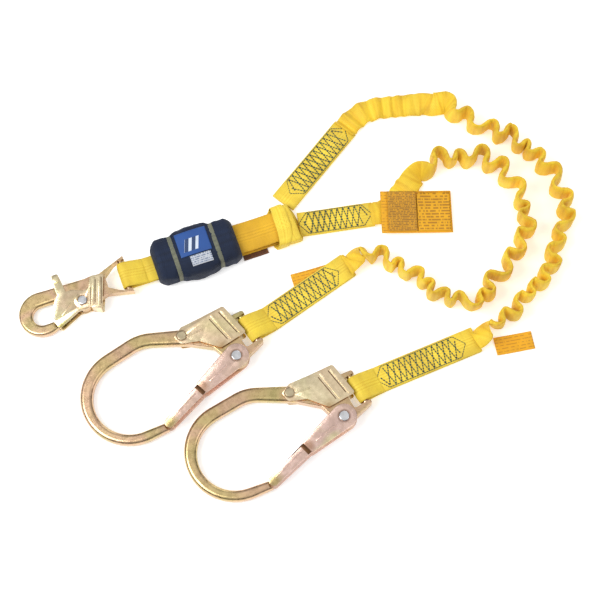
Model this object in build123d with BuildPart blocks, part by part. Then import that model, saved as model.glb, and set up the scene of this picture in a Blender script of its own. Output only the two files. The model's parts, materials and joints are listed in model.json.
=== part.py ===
from build123d import *
import os
from math import cos, pi, radians, sin, tan

# Twin-leg shock absorbing lanyard, laid out flat on the ground.
# Millimetres, +Z up. The origin is on the ground under the middle of the whole layout.
# A snap hook and the energy absorber pack share one line. Two elastic legs start at the
# yoke behind the pack, run out to the right, come back, and end in two rebar hooks.
# Each hook has its own frame: u runs from the eye's crossbar to the bend, v to the gate,
# w up out of the hook's flat side.

os.makedirs("parts", exist_ok=True)

# ---- webbing ----
strap_width = 35.0
ply = 2.5  # one layer of webbing
strap_thick = 2 * ply  # two layers sewn together
strap_rest = 1.4  # underside of a flat strap above the ground
loop_gap = 0.5  # between a crossbar and the webbing round it
loop_neck = 30.0  # from a crossbar to where its sewn loop has closed
elastic_width = 33.0  # crimped tubular webbing, and the tube that it fills
elastic_flat = 4.5  # its height where it lies on its side
elastic_axis = 17.0  # height of the tube's middle

# ---- layout on the ground ----
line_heading = 19.5  # snap hook, absorber pack and yoke
pack_middle = Vector(-136, 47)
snap_reach = 96.5  # from the pack's middle back to the snap hook's crossbar
hook_a_heading = 211.0
hook_b_heading = 214.5
strap_a_run = 135.0  # flat stitched strap between the elastic and the hook's loop
strap_b_run = 124.0
yoke_start = 104.0  # along the pack's line, from the pack's middle
yoke_length = 35.0

# routes of the two legs, from the yoke's end to the hook's end
leg_a_route = [
    (59, 230), (75, 251), (101, 263), (132, 266), (164, 268), (193, 266), (219, 251),
    (244, 231), (271, 217), (297, 204), (318, 184), (335, 159), (347, 132), (347, 105),
    (342, 79), (335, 55), (331, 30), (318, 7), (301, -13), (282, -30), (264, -48),
    (244, -61), (223, -70),
]
leg_b_flat_route = [(93, 106), (112, 109), (127, 123), (139, 141), (153, 159)]
leg_b_route = [
    (153, 159), (169, 174), (190, 185), (215, 188), (240, 186), (262, 173), (281, 152),
    (294, 128), (302, 102), (299, 76), (288, 56), (275, 39), (262, 23), (248, 5),
    (233, -12), (213, -22), (192, -21), (176, -8), (162, 8), (147, 22), (129, 33),
    (110, 43), (93, 50), (75, 43), (60, 32),
]

# ---- energy absorber pack ----
pack_length = 113.0
pack_width = 68.0
pack_end_width = 52.0
pack_height = 33.0
pack_rest = 1.0
pack_round = 9.0
cover_wall = 2.0
band_width = 6.0
band_thick = 0.9
band_place = 28.0
tear_ply = 2.2
tear_pitch = 2.5
tear_layers = 10
tear_width = 38.0
tear_half_length = 35.0
pack_strap_height = 10.0
pack_loop_width = 42.0
pack_loop_height = 12.0
pack_loop_start = 38.0
pack_loop_end = 135.0
patch_thick = 0.5

# ---- rebar hooks ----
rebar_thick = 15.0
rebar_round = 5.0
rebar_bar = 4.5  # crossbar radius
rebar_height = 15.0  # crossbar above the ground
rebar_dip = 1.76  # degrees, nose down, so that the bend rests on the ground
rebar_gate_pivot = (34, 22)
rebar_gate_pin = 4.0
rebar_lever_pivot = (77, -39)
rebar_lever_pin = 3.5
gate_layer = 7.9  # inner face of the gate's cheeks, from the hook's middle plane
gate_sheet = 1.5
lever_layer = 9.8
lever_sheet = 1.4

# ---- snap hook ----
snap_thick = 12.0
snap_round = 3.5
snap_bar = 4.0
snap_height = 14.5
snap_dip = 3.0
snap_pivot = (61, 16)
snap_pin = 3.5
snap_gate_layer = 6.4
snap_lever_layer = 8.3
snap_sheet = 1.5
snap_nose_reach = 44.5  # the gate's end wall sweeps inside this radius

# ---- rivets and springs ----
pin_fit = 0.06
head_lip = 2.5
head_height = 1.3
head_gap = 0.1
spring_wire = 0.55


def heading_vector(degrees):
    return Vector(cos(radians(degrees)), sin(radians(degrees)))


def ground_plane(point, direction, height=0.0):
    """A level plane with x along direction."""
    origin = (point.X, point.Y, height)
    return Plane(origin=origin, x_dir=(direction.X, direction.Y, 0), z_dir=(0, 0, 1))


def dipped_plane(point, direction, height, dip):
    """A plane with x along direction and its nose dip degrees down."""
    low = sin(radians(dip))
    flat = cos(radians(dip))
    return Plane(
        origin=(point.X, point.Y, height),
        x_dir=(direction.X * flat, direction.Y * flat, -low),
        z_dir=(direction.X * low, direction.Y * low, flat),
    )


def side_plane(point, direction, height=0.0):
    """An upright plane with x along direction and y up."""
    along = Vector(direction.X, direction.Y, 0)
    origin = (point.X, point.Y, height)
    return Plane(origin=origin, x_dir=along, z_dir=along.cross(Vector(0, 0, 1)))


def finish(part, name):
    part.label = name
    export_step(part, f"parts/{name}.step")


def edges_of_end_faces(part, plane):
    """Edges of the two flat faces that look along the plane's normal."""
    faces = part.faces().sort_by(Axis(plane.origin, plane.z_dir))
    return faces[0].edges() + faces[-1].edges()


# ---------------------------------------------------------------- places

line_way = heading_vector(line_heading)
snap_cross = pack_middle - line_way * snap_reach
snap_frame = dipped_plane(snap_cross, -line_way, snap_height, snap_dip)


def end_places(route, run, hook_heading):
    """Strap direction, neck of the hook's loop, and crossbar, from the end of a route."""
    last = Vector(*route[-1])
    way = (last - Vector(*route[-2])).normalized()
    neck = last + way * run
    cross = neck + heading_vector(hook_heading) * loop_neck
    return last, way, neck, cross


leg_a_last, leg_a_way, leg_a_neck, cross_a = end_places(leg_a_route, strap_a_run, hook_a_heading)
leg_b_last, leg_b_way, leg_b_neck, cross_b = end_places(leg_b_route, strap_b_run, hook_b_heading)
rebar_a_frame = dipped_plane(cross_a, heading_vector(hook_a_heading), rebar_height, rebar_dip)
rebar_b_frame = dipped_plane(cross_b, heading_vector(hook_b_heading), rebar_height, rebar_dip)


# ---------------------------------------------------------------- rivets and springs


def make_rivet(frame, pivot, pin_radius, reach, name):
    """A rivet with a low domed head on both sides, reach from the middle plane."""
    head_radius = pin_radius + head_lip
    grip = reach + head_gap
    with BuildPart() as rivet:
        with BuildSketch(frame):
            with Locations(pivot):
                Circle(pin_radius)
        extrude(amount=grip, both=True)
        with BuildSketch(frame.offset(grip)):
            with Locations(pivot):
                Circle(head_radius)
        extrude(amount=head_height)
        with BuildSketch(frame.offset(-grip)):
            with Locations(pivot):
                Circle(head_radius)
        extrude(amount=-head_height)
        fillet(edges_of_end_faces(rivet.part, frame), radius=head_height * 0.85)
    finish(rivet.part, name)


def make_coil(frame, pivot, radius, start, height, turns, name):
    """A close-wound torsion spring round a pivot, from start up along w."""
    middle = frame.offset(start).from_local_coords((pivot[0], pivot[1], 0))
    with BuildPart() as coil:
        with BuildLine() as path:
            Helix(height / turns, height, radius, center=middle, direction=frame.z_dir)
        with BuildSketch(Plane(origin=path.line @ 0, z_dir=path.line % 0)):
            Circle(spring_wire)
        sweep()
    finish(coil.part, name)


# ---------------------------------------------------------------- rebar hooks


def make_rebar_body(frame, name):
    """Forged hook: bent bar with a wide bowl, flat shank, eye and gate lug."""
    half = rebar_thick / 2
    eye_back = rebar_bar + 1.2
    gate_u, gate_v = rebar_gate_pivot
    with BuildPart() as bar:
        with BuildSketch(frame.offset(-half)):
            with BuildLine():
                Line((155, 43), (183, 36.95))
                ThreePointArc((183, 36.95), (221, -10), (173, -58))
                FilletPolyline((173, -58), (126, -58), (84, -31), (50, -8), radius=(45, 90))
                Line((50, -8), (40, -30.5))
                FilletPolyline((40, -30.5), (64, -43.5), (122, -76), (172, -76), radius=(90, 60))
                ThreePointArc((172, -76), (236, -12), (176, 51.9))
                Polyline((176, 51.9), (156, 54.5), (155, 43))
            make_face()
        extrude(amount=rebar_thick)
        fillet(edges_of_end_faces(bar.part, frame), radius=rebar_round)
    with BuildPart() as lug:
        with BuildSketch(frame.offset(-half)):
            with Locations(rebar_gate_pivot):
                Circle(15)
        extrude(amount=rebar_thick)
        fillet(edges_of_end_faces(lug.part, frame), radius=1.5)
    with BuildPart() as body:
        with BuildSketch(frame.offset(-half)) as shank:
            Polygon(
                (-eye_back, -25), (38, -31), (66, -44), (80, -30), (52, -4), (46, 18),
                (27, 32), (-eye_back, 25), align=None,
            )
            fillet(shank.vertices(), radius=3)
        extrude(amount=rebar_thick)
        fillet(edges_of_end_faces(body.part, frame), radius=1.5)
        add(bar.part)
        add(lug.part)
        # opening for the webbing, closed again by a round crossbar
        with BuildSketch(frame.offset(-half)):
            with Locations((17, 0)):
                RectangleRounded(2 * (17 + eye_back), 40, 3, align=(Align.MAX, Align.CENTER))
        extrude(amount=rebar_thick, mode=Mode.SUBTRACT)
        with BuildSketch(Plane(origin=frame.origin, x_dir=frame.x_dir, z_dir=frame.y_dir)):
            Circle(rebar_bar)
        extrude(amount=22, both=True)
        # fork that holds the gate's spring
        with BuildSketch(frame.offset(-2.9)) as fork:
            with Locations(rebar_gate_pivot):
                Circle(9)
            with Locations((gate_u + 12, gate_v + 3)):
                Rectangle(24, 16)
        extrude(amount=5.8, mode=Mode.SUBTRACT)
        with BuildSketch(frame.offset(-half)):
            with Locations(rebar_gate_pivot):
                Circle(rebar_gate_pin + pin_fit)
            with Locations(rebar_lever_pivot):
                Circle(rebar_lever_pin + pin_fit)
        extrude(amount=rebar_thick, mode=Mode.SUBTRACT)
    finish(body.part, name)


def make_rebar_gate(frame, name):
    """Stamped gate: two cheeks round the lug, a step, a narrow arm, and an inner wall."""
    outer = gate_layer + gate_sheet
    with BuildPart() as gate:
        for low in (gate_layer, -outer):
            with BuildSketch(frame.offset(low)):
                with Locations(rebar_gate_pivot):
                    Circle(16)
                with Locations((90, 32)):
                    Circle(9.5)
                make_hull()
            extrude(amount=gate_sheet)
            with BuildSketch(frame.offset(low)):
                with Locations((90, 32.5)):
                    Circle(7.5)
                with Locations((151, 47)):
                    Circle(6.5)
                make_hull()
            extrude(amount=gate_sheet)
        with BuildSketch(frame.offset(-outer)):
            Polygon((76, 20.6), (91, 25.2), (148, 40.6), (147.5, 42.2), (90.5, 26.9), (75.5, 22.2),
                    align=None)
        extrude(amount=2 * outer)
        with BuildSketch(frame.offset(-outer)):
            with Locations(rebar_gate_pivot):
                Circle(rebar_gate_pin + pin_fit)
        extrude(amount=2 * outer, mode=Mode.SUBTRACT)
    finish(gate.part, name)


def make_rebar_lever(frame, name):
    """Lock lever: two cheeks over the shank, joined by a wall behind it, with finger ribs."""
    outer = lever_layer + lever_sheet
    rib_ends = [((17, -38), (12, 0)), ((31, -40), (26, 0))]
    with BuildPart() as lever:
        for low in (lever_layer, -outer):
            with BuildSketch(frame.offset(low)) as cheek:
                Polygon(
                    (12, -42), (44, -45.5), (72, -49), (86, -43), (84, -31), (62, -20),
                    (44, 3), (6.5, 3.5), align=None,
                )
                fillet(cheek.vertices(), radius=3)
            extrude(amount=lever_sheet)
        for side in (-1, 1):
            for start, stop in rib_ends:
                with BuildSketch(frame.offset(side * outer)):
                    with BuildLine():
                        Line(start, stop)
                    trace(line_width=4)
                extrude(amount=side * 0.9)
            # a raised ring on each cheek reaches the hook's flat side
            with BuildSketch(frame.offset(side * lever_layer)):
                with Locations(rebar_lever_pivot):
                    Circle(5.6)
            extrude(amount=side * (rebar_thick / 2 + 0.3 - lever_layer))
        with BuildSketch(frame.offset(-outer)):
            Polygon((13.5, -42.6), (44, -45.5), (44.2, -44), (13.7, -41.1), align=None)
        extrude(amount=2 * outer)
        with BuildSketch(frame.offset(-outer)):
            with Locations(rebar_lever_pivot):
                Circle(rebar_lever_pin + pin_fit)
        extrude(amount=2 * outer, mode=Mode.SUBTRACT)
    finish(lever.part, name)


def make_rebar_hook(frame, mark):
    make_rebar_body(frame, f"rebar_hook_{mark}_body")
    make_rebar_gate(frame, f"rebar_hook_{mark}_gate")
    make_rebar_lever(frame, f"rebar_hook_{mark}_lock_lever")
    gate_reach = gate_layer + gate_sheet
    lever_reach = lever_layer + lever_sheet
    make_rivet(frame, rebar_gate_pivot, rebar_gate_pin, gate_reach, f"rebar_hook_{mark}_gate_rivet")
    make_rivet(frame, rebar_lever_pivot, rebar_lever_pin, lever_reach, f"rebar_hook_{mark}_lock_rivet")
    make_coil(frame, rebar_gate_pivot, 6.3, -2.0, 4.0, 3, f"rebar_hook_{mark}_gate_spring")
    make_coil(frame, rebar_lever_pivot, 7.2, 8.2, 0.95, 0.8, f"rebar_hook_{mark}_lock_spring")


# ---------------------------------------------------------------- snap hook


def make_snap_body(frame):
    """Forged snap hook: round bowl, spine, lug for the gate, and a triangular eye."""
    half = snap_thick / 2
    eye_back = snap_bar + 1.2
    with BuildPart() as body:
        with BuildSketch(frame.offset(-half)):
            with BuildLine():
                ThreePointArc((116, -17), (146, 13), (101, 39))
                Polyline((101, 39), (104.5, 29), (116, 29))
                ThreePointArc((116, 29), (129, 16), (116, 3))
                Polyline((116, 3), (76, 3), (40, 10), (40, -13.5), (100, -16), (116, -17))
            make_face()
        extrude(amount=snap_thick)
        fillet(edges_of_end_faces(body.part, frame), radius=snap_round)
        with BuildSketch(frame.offset(-half)) as shank:
            Polygon((25, -12), (44, -13.5), (66, -10), (66, 24), (52, 25), (25, 16), align=None)
            fillet(shank.vertices(), radius=2)
            with Locations(snap_pivot):
                Circle(12)
            Polygon((-eye_back, -25.9), (30, -13), (30, 17), (-eye_back, 25.8), align=None)
        extrude(amount=snap_thick)
        with BuildSketch(frame.offset(-half)) as eye:
            Polygon((-eye_back - 3, -21), (5, -21), (11, -18.5), (25, -7.5), (25, 9.5), (11, 18.5),
                    (5, 21), (-eye_back - 3, 21), align=None)
            fillet(eye.vertices(), radius=1.5)
        extrude(amount=snap_thick, mode=Mode.SUBTRACT)
        with BuildSketch(Plane(origin=frame.origin, x_dir=frame.x_dir, z_dir=frame.y_dir)):
            Circle(snap_bar)
        extrude(amount=22.5, both=True)
        with BuildSketch(frame.offset(-2.9)):
            with Locations(snap_pivot):
                Circle(8)
            with Locations((snap_pivot[0] + 10, snap_pivot[1] + 4)):
                Rectangle(20, 14)
        extrude(amount=5.8, mode=Mode.SUBTRACT)
        with BuildSketch(frame.offset(-half)):
            with Locations(snap_pivot):
                Circle(snap_pin + pin_fit)
        extrude(amount=snap_thick, mode=Mode.SUBTRACT)
    finish(body.part, "snap_hook_body")


def make_snap_gate(frame):
    """Stamped gate: two cheeks, a wall at the nose, and a thumb post on the upper cheek."""
    outer = snap_gate_layer + snap_sheet
    wall_radius = snap_nose_reach - 0.9
    with BuildPart() as gate:
        for low in (snap_gate_layer, -outer):
            with BuildSketch(frame.offset(low)) as cheek:
                Polygon(
                    (54, 4), (70, -3), (88, -4), (95, 2), (99.5, 12), (102, 38), (97, 41),
                    (70, 28.5), (54, 28), align=None,
                )
                fillet(cheek.vertices(), radius=2.5)
                with Locations(snap_pivot):
                    Circle(13)
            extrude(amount=snap_sheet)
        with BuildSketch(frame.offset(snap_gate_layer)) as post:
            Polygon((78, 0), (81.5, -31), (91, -31), (90, 0), align=None)
            fillet(post.vertices(), radius=3)
        extrude(amount=snap_sheet)
        with BuildSketch(frame.offset(-outer)) as wall:
            with Locations(snap_pivot):
                Circle(wall_radius)
                Circle(wall_radius - 1.6, mode=Mode.SUBTRACT)
            pivot_u, pivot_v = snap_pivot
            Polygon(
                (pivot_u, pivot_v), (pivot_u + 60, pivot_v + 60 * tan(radians(12))),
                (pivot_u + 60, pivot_v + 60 * tan(radians(29))), align=None, mode=Mode.INTERSECT,
            )
        extrude(amount=2 * outer)
        with BuildSketch(frame.offset(-outer)):
            with Locations(snap_pivot):
                Circle(snap_pin + pin_fit)
        extrude(amount=2 * outer, mode=Mode.SUBTRACT)
    finish(gate.part, "snap_hook_gate")


def make_snap_lever(frame):
    """Lock lever: cheeks that round the rivet, a slanted pad with two ribs, a closing wall."""
    outer = snap_lever_layer + snap_sheet
    rib_ends = [((30.5, -8), (42, 30)), ((38, -9), (50, 26))]
    with BuildPart() as lever:
        for low in (snap_lever_layer, -outer):
            with BuildSketch(frame.offset(low)) as cheek:
                Polygon(
                    (25, -9), (42, -12.5), (49, 3), (62, 5), (70, 14), (64, 27), (54, 28),
                    (40, 35), align=None,
                )
                fillet(cheek.vertices(), radius=2.5)
                with Locations(snap_pivot):
                    Circle(10.5)
            extrude(amount=snap_sheet)
        for side in (-1, 1):
            for start, stop in rib_ends:
                with BuildSketch(frame.offset(side * outer)):
                    with BuildLine():
                        Line(start, stop)
                    trace(line_width=3.4)
                extrude(amount=side * 0.8)
        with BuildSketch(frame.offset(-outer)):
            Polygon((41, 33), (52, 27.7), (52.6, 29), (41.6, 34.4), align=None)
        extrude(amount=2 * outer)
        with BuildSketch(frame.offset(-outer)):
            with Locations(snap_pivot):
                Circle(snap_pin + pin_fit)
        extrude(amount=2 * outer, mode=Mode.SUBTRACT)
    finish(lever.part, "snap_hook_lock_lever")


# ---------------------------------------------------------------- straps and legs


def cut_eye_loop(pin, way, bar_radius, drop):
    """Section of a sewn loop, seen along the crossbar: x runs away from the hook."""
    plane = side_plane(pin, way, pin.Z)
    with BuildPart() as loop:
        with BuildSketch(plane):
            Circle(bar_radius + loop_gap + ply)
            with Locations((loop_neck, drop)):
                Rectangle(1, strap_thick)
            make_hull()
        extrude(amount=strap_width / 2, both=True)
        with BuildSketch(plane):
            Circle(bar_radius + loop_gap)
            with Locations((loop_neck - 9, drop * 0.78)):
                Circle(0.5)
            make_hull()
        extrude(amount=strap_width / 2, both=True, mode=Mode.SUBTRACT)
    return loop.part


def make_end_strap(frame, last, way, neck, hook_heading, name):
    """Strap between a leg's elastic and its rebar hook."""
    drop = strap_rest + strap_thick / 2 - rebar_height
    loop = cut_eye_loop(frame.origin, -heading_vector(hook_heading), rebar_bar, drop)
    lap = 3.0
    with BuildPart() as strap:
        add(loop)
        with BuildSketch(ground_plane(last, way, strap_rest)):
            Rectangle((neck - last).length + lap, strap_width, align=(Align.MIN, Align.CENTER))
        extrude(amount=strap_thick)
    finish(strap.part, name)


def make_start_strap(route, length, envelope, name):
    """Strap between the yoke and a leg's elastic, trimmed where it meets the yoke."""
    first = Vector(*route[0])
    way = (first - Vector(*route[1])).normalized()
    with BuildPart() as strap:
        with BuildSketch(ground_plane(first, way, strap_rest)):
            Rectangle(length, strap_width, align=(Align.MIN, Align.CENTER))
        extrude(amount=strap_thick)
        add(envelope, mode=Mode.SUBTRACT)
    finish(strap.part, name)


def corner_radii(points):
    """Arcs as large as each corner's two runs allow."""
    radii = []
    for before, corner, after in zip(points, points[1:], points[2:]):
        run_in = corner - before
        run_out = after - corner
        half_turn = radians(run_in.get_angle(run_out)) / 2
        radii.append(0.45 * min(run_in.length, run_out.length) / tan(half_turn))
    return radii


def make_tube(route, name):
    """The outer shape of a crimped elastic leg, as one tube along its route."""
    points = [Vector(x, y, elastic_axis) for x, y in route]
    radii = corner_radii(points)
    with BuildPart() as tube:
        with BuildLine() as path:
            FilletPolyline(*points, radius=radii)
        with BuildSketch(Plane(origin=path.line @ 0, z_dir=path.line % 0)):
            Circle(elastic_width / 2)
        sweep()
    length = path.wire().length
    share = tube.part.volume / (pi * (elastic_width / 2) ** 2 * length)
    print(f"{name}: length {length:.0f} mm, volume over section x length {share:.3f}")
    print(f"{name}: radii", [round(radius) for radius in radii])
    return tube.part


def make_flat_stretch(route):
    """The first stretch of a leg, lying on its side."""
    points = [Vector(x, y) for x, y in route]
    # runs on a little into the tube that continues it
    points.append(points[-1] + (points[-1] - points[-2]).normalized() * 6)
    del points[-2]
    with BuildPart() as flat:
        with BuildSketch(Plane.XY.offset(strap_rest)):
            with BuildLine():
                FilletPolyline(*points, radius=corner_radii(points))
            trace(line_width=elastic_width)
        extrude(amount=elastic_flat)
    return flat.part


# ---------------------------------------------------------------- the pack


def pack_block(inset):
    """The pack's rounded outer shape, made smaller all round by inset."""
    half_length = pack_length / 2 - inset
    half_end = pack_end_width / 2 - inset
    half_middle = pack_width / 2 - inset
    height = pack_height - 2 * inset
    plane = ground_plane(pack_middle, line_way, pack_rest + inset)
    with BuildPart() as block:
        with BuildSketch(plane) as plan:
            with BuildLine():
                ThreePointArc((-half_length, half_end), (0, half_middle), (half_length, half_end))
                Line((half_length, half_end), (half_length, -half_end))
                ThreePointArc((half_length, -half_end), (0, -half_middle), (-half_length, -half_end))
                Line((-half_length, -half_end), (-half_length, half_end))
            make_face()
            fillet(plan.vertices(), radius=pack_round - inset)
        extrude(amount=height)
        fillet(edges_of_end_faces(block.part, plane), radius=pack_round - inset)
    return block.part


pack_outer = pack_block(0)
pack_inner = pack_block(cover_wall)
pack_wrap = pack_block(-band_thick)
line_side = side_plane(pack_middle, line_way, 0)
left_end = Plane(
    origin=pack_middle - line_way * pack_length / 2 + Vector(0, 0, pack_strap_height),
    x_dir=line_side.z_dir, z_dir=line_way,
)
right_end = left_end.offset(pack_length)
pack_top = ground_plane(pack_middle, line_way, pack_rest + pack_height)
hook_strap_drop = pack_strap_height - snap_height

with BuildPart() as pack_cover:
    add(pack_outer)
    add(pack_inner, mode=Mode.SUBTRACT)
    with BuildSketch(left_end):
        RectangleRounded(strap_width + 2, strap_thick + 2, 2)
    extrude(amount=8, both=True, mode=Mode.SUBTRACT)
    with BuildSketch(right_end):
        RectangleRounded(pack_loop_width + 2, pack_loop_height + 2, 3)
    extrude(amount=8, both=True, mode=Mode.SUBTRACT)
finish(pack_cover.part, "pack_cover")

with BuildPart() as pack_bands:
    with BuildSketch(line_side):
        with Locations((-band_place, 17), (band_place, 17)):
            Rectangle(band_width, 60)
    extrude(amount=pack_width, both=True)
    add(pack_wrap, mode=Mode.INTERSECT)
    add(pack_outer, mode=Mode.SUBTRACT)
finish(pack_bands.part, "pack_bands")

with BuildPart() as pack_label:
    with BuildSketch(pack_top):
        with Locations((0, 7.5)):
            RectangleRounded(42, 32, 1.5)
    extrude(amount=patch_thick)
finish(pack_label.part, "pack_label")

with BuildPart() as pack_info_panel:
    with BuildSketch(pack_top):
        with Locations((4, -17)):
            RectangleRounded(28, 14, 1)
    extrude(amount=patch_thick)
finish(pack_info_panel.part, "pack_info_panel")

# the tear-out webbing is folded back and forth inside the cover
tear_points = []
for layer in range(tear_layers):
    level = pack_rest + cover_wall + 3 + layer * tear_pitch
    ends = (-tear_half_length, tear_half_length)
    if layer % 2:
        ends = (tear_half_length, -tear_half_length)
    tear_points.append((ends[0], level))
    tear_points.append((ends[1], level))
with BuildPart() as tear_webbing:
    with BuildSketch(line_side):
        with BuildLine():
            FilletPolyline(*tear_points, radius=tear_pitch / 2 - 0.02)
        trace(line_width=tear_ply)
    extrude(amount=tear_width / 2, both=True)
finish(tear_webbing.part, "tear_webbing")

# loop of wide webbing from the pack to the yoke
with BuildPart() as pack_loop:
    loop_length = pack_loop_end - pack_loop_start
    with BuildSketch(line_side):
        with Locations(((pack_loop_start + pack_loop_end) / 2, pack_strap_height)):
            SlotOverall(loop_length, pack_loop_height)
            SlotOverall(loop_length - 2 * ply, pack_loop_height - 2 * ply, mode=Mode.SUBTRACT)
    extrude(amount=pack_loop_width / 2, both=True)
finish(pack_loop.part, "pack_loop")

# strap from the snap hook into the pack
snap_pin_point = Vector(snap_cross.X, snap_cross.Y, snap_height)
hook_loop = cut_eye_loop(snap_pin_point, line_way, snap_bar, hook_strap_drop)
with BuildPart() as hook_strap:
    add(hook_loop)
    with BuildSketch(line_side):
        strap_from = loop_neck - snap_reach
        strap_to = -tear_half_length - tear_pitch
        with Locations((strap_from, pack_strap_height - strap_thick / 2)):
            Rectangle(strap_to - strap_from, strap_thick, align=(Align.MIN, Align.MIN))
    extrude(amount=strap_width / 2, both=True)
finish(hook_strap.part, "hook_strap")

# ---------------------------------------------------------------- the yoke

yoke_plane = Plane(
    origin=pack_middle + line_way * yoke_start + Vector(0, 0, pack_strap_height),
    x_dir=line_side.z_dir, z_dir=line_way,
)
yoke_width = pack_loop_width + 14
yoke_height = 19.2
with BuildPart() as yoke_block:
    with BuildSketch(yoke_plane):
        RectangleRounded(yoke_width, yoke_height, 7)
    extrude(amount=yoke_length)
with BuildPart() as leg_yoke:
    add(yoke_block.part)
    with BuildSketch(yoke_plane):
        RectangleRounded(yoke_width - 2 * ply, yoke_height - 2 * ply, 7 - ply)
    extrude(amount=yoke_length, mode=Mode.SUBTRACT)
finish(leg_yoke.part, "leg_yoke")

make_start_strap(leg_a_route, 139, yoke_block.part, "leg_a_start_strap")
make_start_strap(leg_b_flat_route, 100, yoke_block.part, "leg_b_start_strap")
make_end_strap(rebar_a_frame, leg_a_last, leg_a_way, leg_a_neck, hook_a_heading, "leg_a_end_strap")
make_end_strap(rebar_b_frame, leg_b_last, leg_b_way, leg_b_neck, hook_b_heading, "leg_b_end_strap")

finish(make_tube(leg_a_route, "leg_a_elastic"), "leg_a_elastic")

leg_b_tube = make_tube(leg_b_route, "leg_b_elastic")
leg_b_lying = make_flat_stretch(leg_b_flat_route)
with BuildPart() as leg_b_elastic:
    add(leg_b_tube)
    add(leg_b_lying)
finish(leg_b_elastic.part, "leg_b_elastic")

# ---------------------------------------------------------------- labels and tabs

label_left = Vector(107, 107)
label_way = heading_vector(1.5)
label_frame = dipped_plane(label_left, label_way, strap_rest + elastic_flat + 1.8, 1.8)
with BuildPart() as label_pocket:
    with BuildSketch(label_frame):
        with Locations((47, 0)):
            RectangleRounded(94, 60, 2)
    extrude(amount=0.8)
finish(label_pocket.part, "label_pocket")

for leaf_name, leaf_place, leaf_size in (
    ("label_leaf_left", (28, 0.5), (38, 57)),
    ("label_leaf_right", (70, -0.5), (43, 55)),
):
    with BuildPart() as leaf:
        with BuildSketch(label_frame.offset(0.8)):
            with Locations(leaf_place):
                RectangleRounded(*leaf_size, 1.5)
        extrude(amount=0.7)
    finish(leaf.part, leaf_name)

for tab_name, tab_place, tab_heading, tab_size in (
    ("leg_a_flag", Vector(275, -73), 11, (50, 24)),
    ("leg_b_flag", Vector(15, 16), 17, (50, 26)),
    ("pack_loop_tab", Vector(-59, 53), 19.5, (34, 14)),
):
    with BuildPart() as tab:
        with BuildSketch(ground_plane(tab_place, heading_vector(tab_heading), 0.1)):
            RectangleRounded(*tab_size, 1.5)
        extrude(amount=1.0)
    finish(tab.part, tab_name)

# ---------------------------------------------------------------- the hooks

make_snap_body(snap_frame)
make_snap_gate(snap_frame)
make_snap_lever(snap_frame)
snap_reach_out = snap_lever_layer + snap_sheet
make_rivet(snap_frame, snap_pivot, snap_pin, snap_reach_out, "snap_hook_rivet")
make_coil(snap_frame, snap_pivot, 5.6, -2.2, 1.6, 1.2, "snap_hook_gate_spring")
make_coil(snap_frame, snap_pivot, 5.6, 0.6, 1.6, 1.2, "snap_hook_lock_spring")
make_rebar_hook(rebar_a_frame, "a")
make_rebar_hook(rebar_b_frame, "b")
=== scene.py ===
"""Twin-leg shock absorbing lanyard: webbing, crimped elastic legs, absorber pack and hook finishes."""
import json
import math
import random

import bmesh
import bpy
from bpy.props import FloatProperty, FloatVectorProperty, IntProperty, PointerProperty
from mathutils import Matrix, Vector, noise


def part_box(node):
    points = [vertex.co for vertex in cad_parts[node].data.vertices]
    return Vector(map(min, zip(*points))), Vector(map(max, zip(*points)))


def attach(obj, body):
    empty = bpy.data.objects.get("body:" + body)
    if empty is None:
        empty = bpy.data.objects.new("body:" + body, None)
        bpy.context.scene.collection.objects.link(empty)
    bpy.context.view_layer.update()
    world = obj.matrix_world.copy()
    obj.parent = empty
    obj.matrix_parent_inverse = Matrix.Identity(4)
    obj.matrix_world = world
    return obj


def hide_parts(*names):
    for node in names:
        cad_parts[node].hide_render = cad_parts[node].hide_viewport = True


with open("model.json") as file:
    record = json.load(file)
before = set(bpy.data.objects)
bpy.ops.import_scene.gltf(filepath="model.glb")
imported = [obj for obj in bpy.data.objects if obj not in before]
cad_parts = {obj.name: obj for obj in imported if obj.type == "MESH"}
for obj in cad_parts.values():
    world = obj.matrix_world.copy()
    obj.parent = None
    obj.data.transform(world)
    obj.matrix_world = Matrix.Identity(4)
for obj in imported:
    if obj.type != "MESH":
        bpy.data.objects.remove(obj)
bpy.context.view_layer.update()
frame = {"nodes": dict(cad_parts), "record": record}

bl_info = {
    "name": "Shock Absorbing Lanyard",
    "version": (1, 0, 0),
    "blender": (4, 5, 0),
    "location": "View3D > Sidebar > Lanyard",
    "description": "Builds the soft goods and finishes of a twin-leg shock absorbing lanyard",
    "category": "Object",
}

# ------------------------------------------------------------------ routes
# The legs' routes on the ground, in metres, from the yoke to the hooks.

FLAT_HEIGHT = 0.0045  # middle of the webbing where it lies on its side
EDGE_HEIGHT = 0.017  # middle of the webbing where it stands on its edge

LEG_A_ROUTE = [
    (0.059, 0.230, FLAT_HEIGHT), (0.075, 0.251, FLAT_HEIGHT), (0.101, 0.263, FLAT_HEIGHT),
    (0.132, 0.266, FLAT_HEIGHT), (0.164, 0.268, 0.007), (0.193, 0.266, 0.012),
    (0.219, 0.251, EDGE_HEIGHT), (0.244, 0.231, EDGE_HEIGHT), (0.271, 0.217, EDGE_HEIGHT),
    (0.297, 0.204, EDGE_HEIGHT), (0.318, 0.184, EDGE_HEIGHT), (0.335, 0.159, EDGE_HEIGHT),
    (0.347, 0.132, EDGE_HEIGHT), (0.347, 0.105, EDGE_HEIGHT), (0.342, 0.079, EDGE_HEIGHT),
    (0.335, 0.055, EDGE_HEIGHT), (0.331, 0.030, EDGE_HEIGHT), (0.318, 0.007, EDGE_HEIGHT),
    (0.301, -0.013, EDGE_HEIGHT), (0.282, -0.030, EDGE_HEIGHT), (0.264, -0.048, EDGE_HEIGHT),
    (0.244, -0.061, 0.0150), (0.223, -0.070, 0.0075),
]
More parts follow.
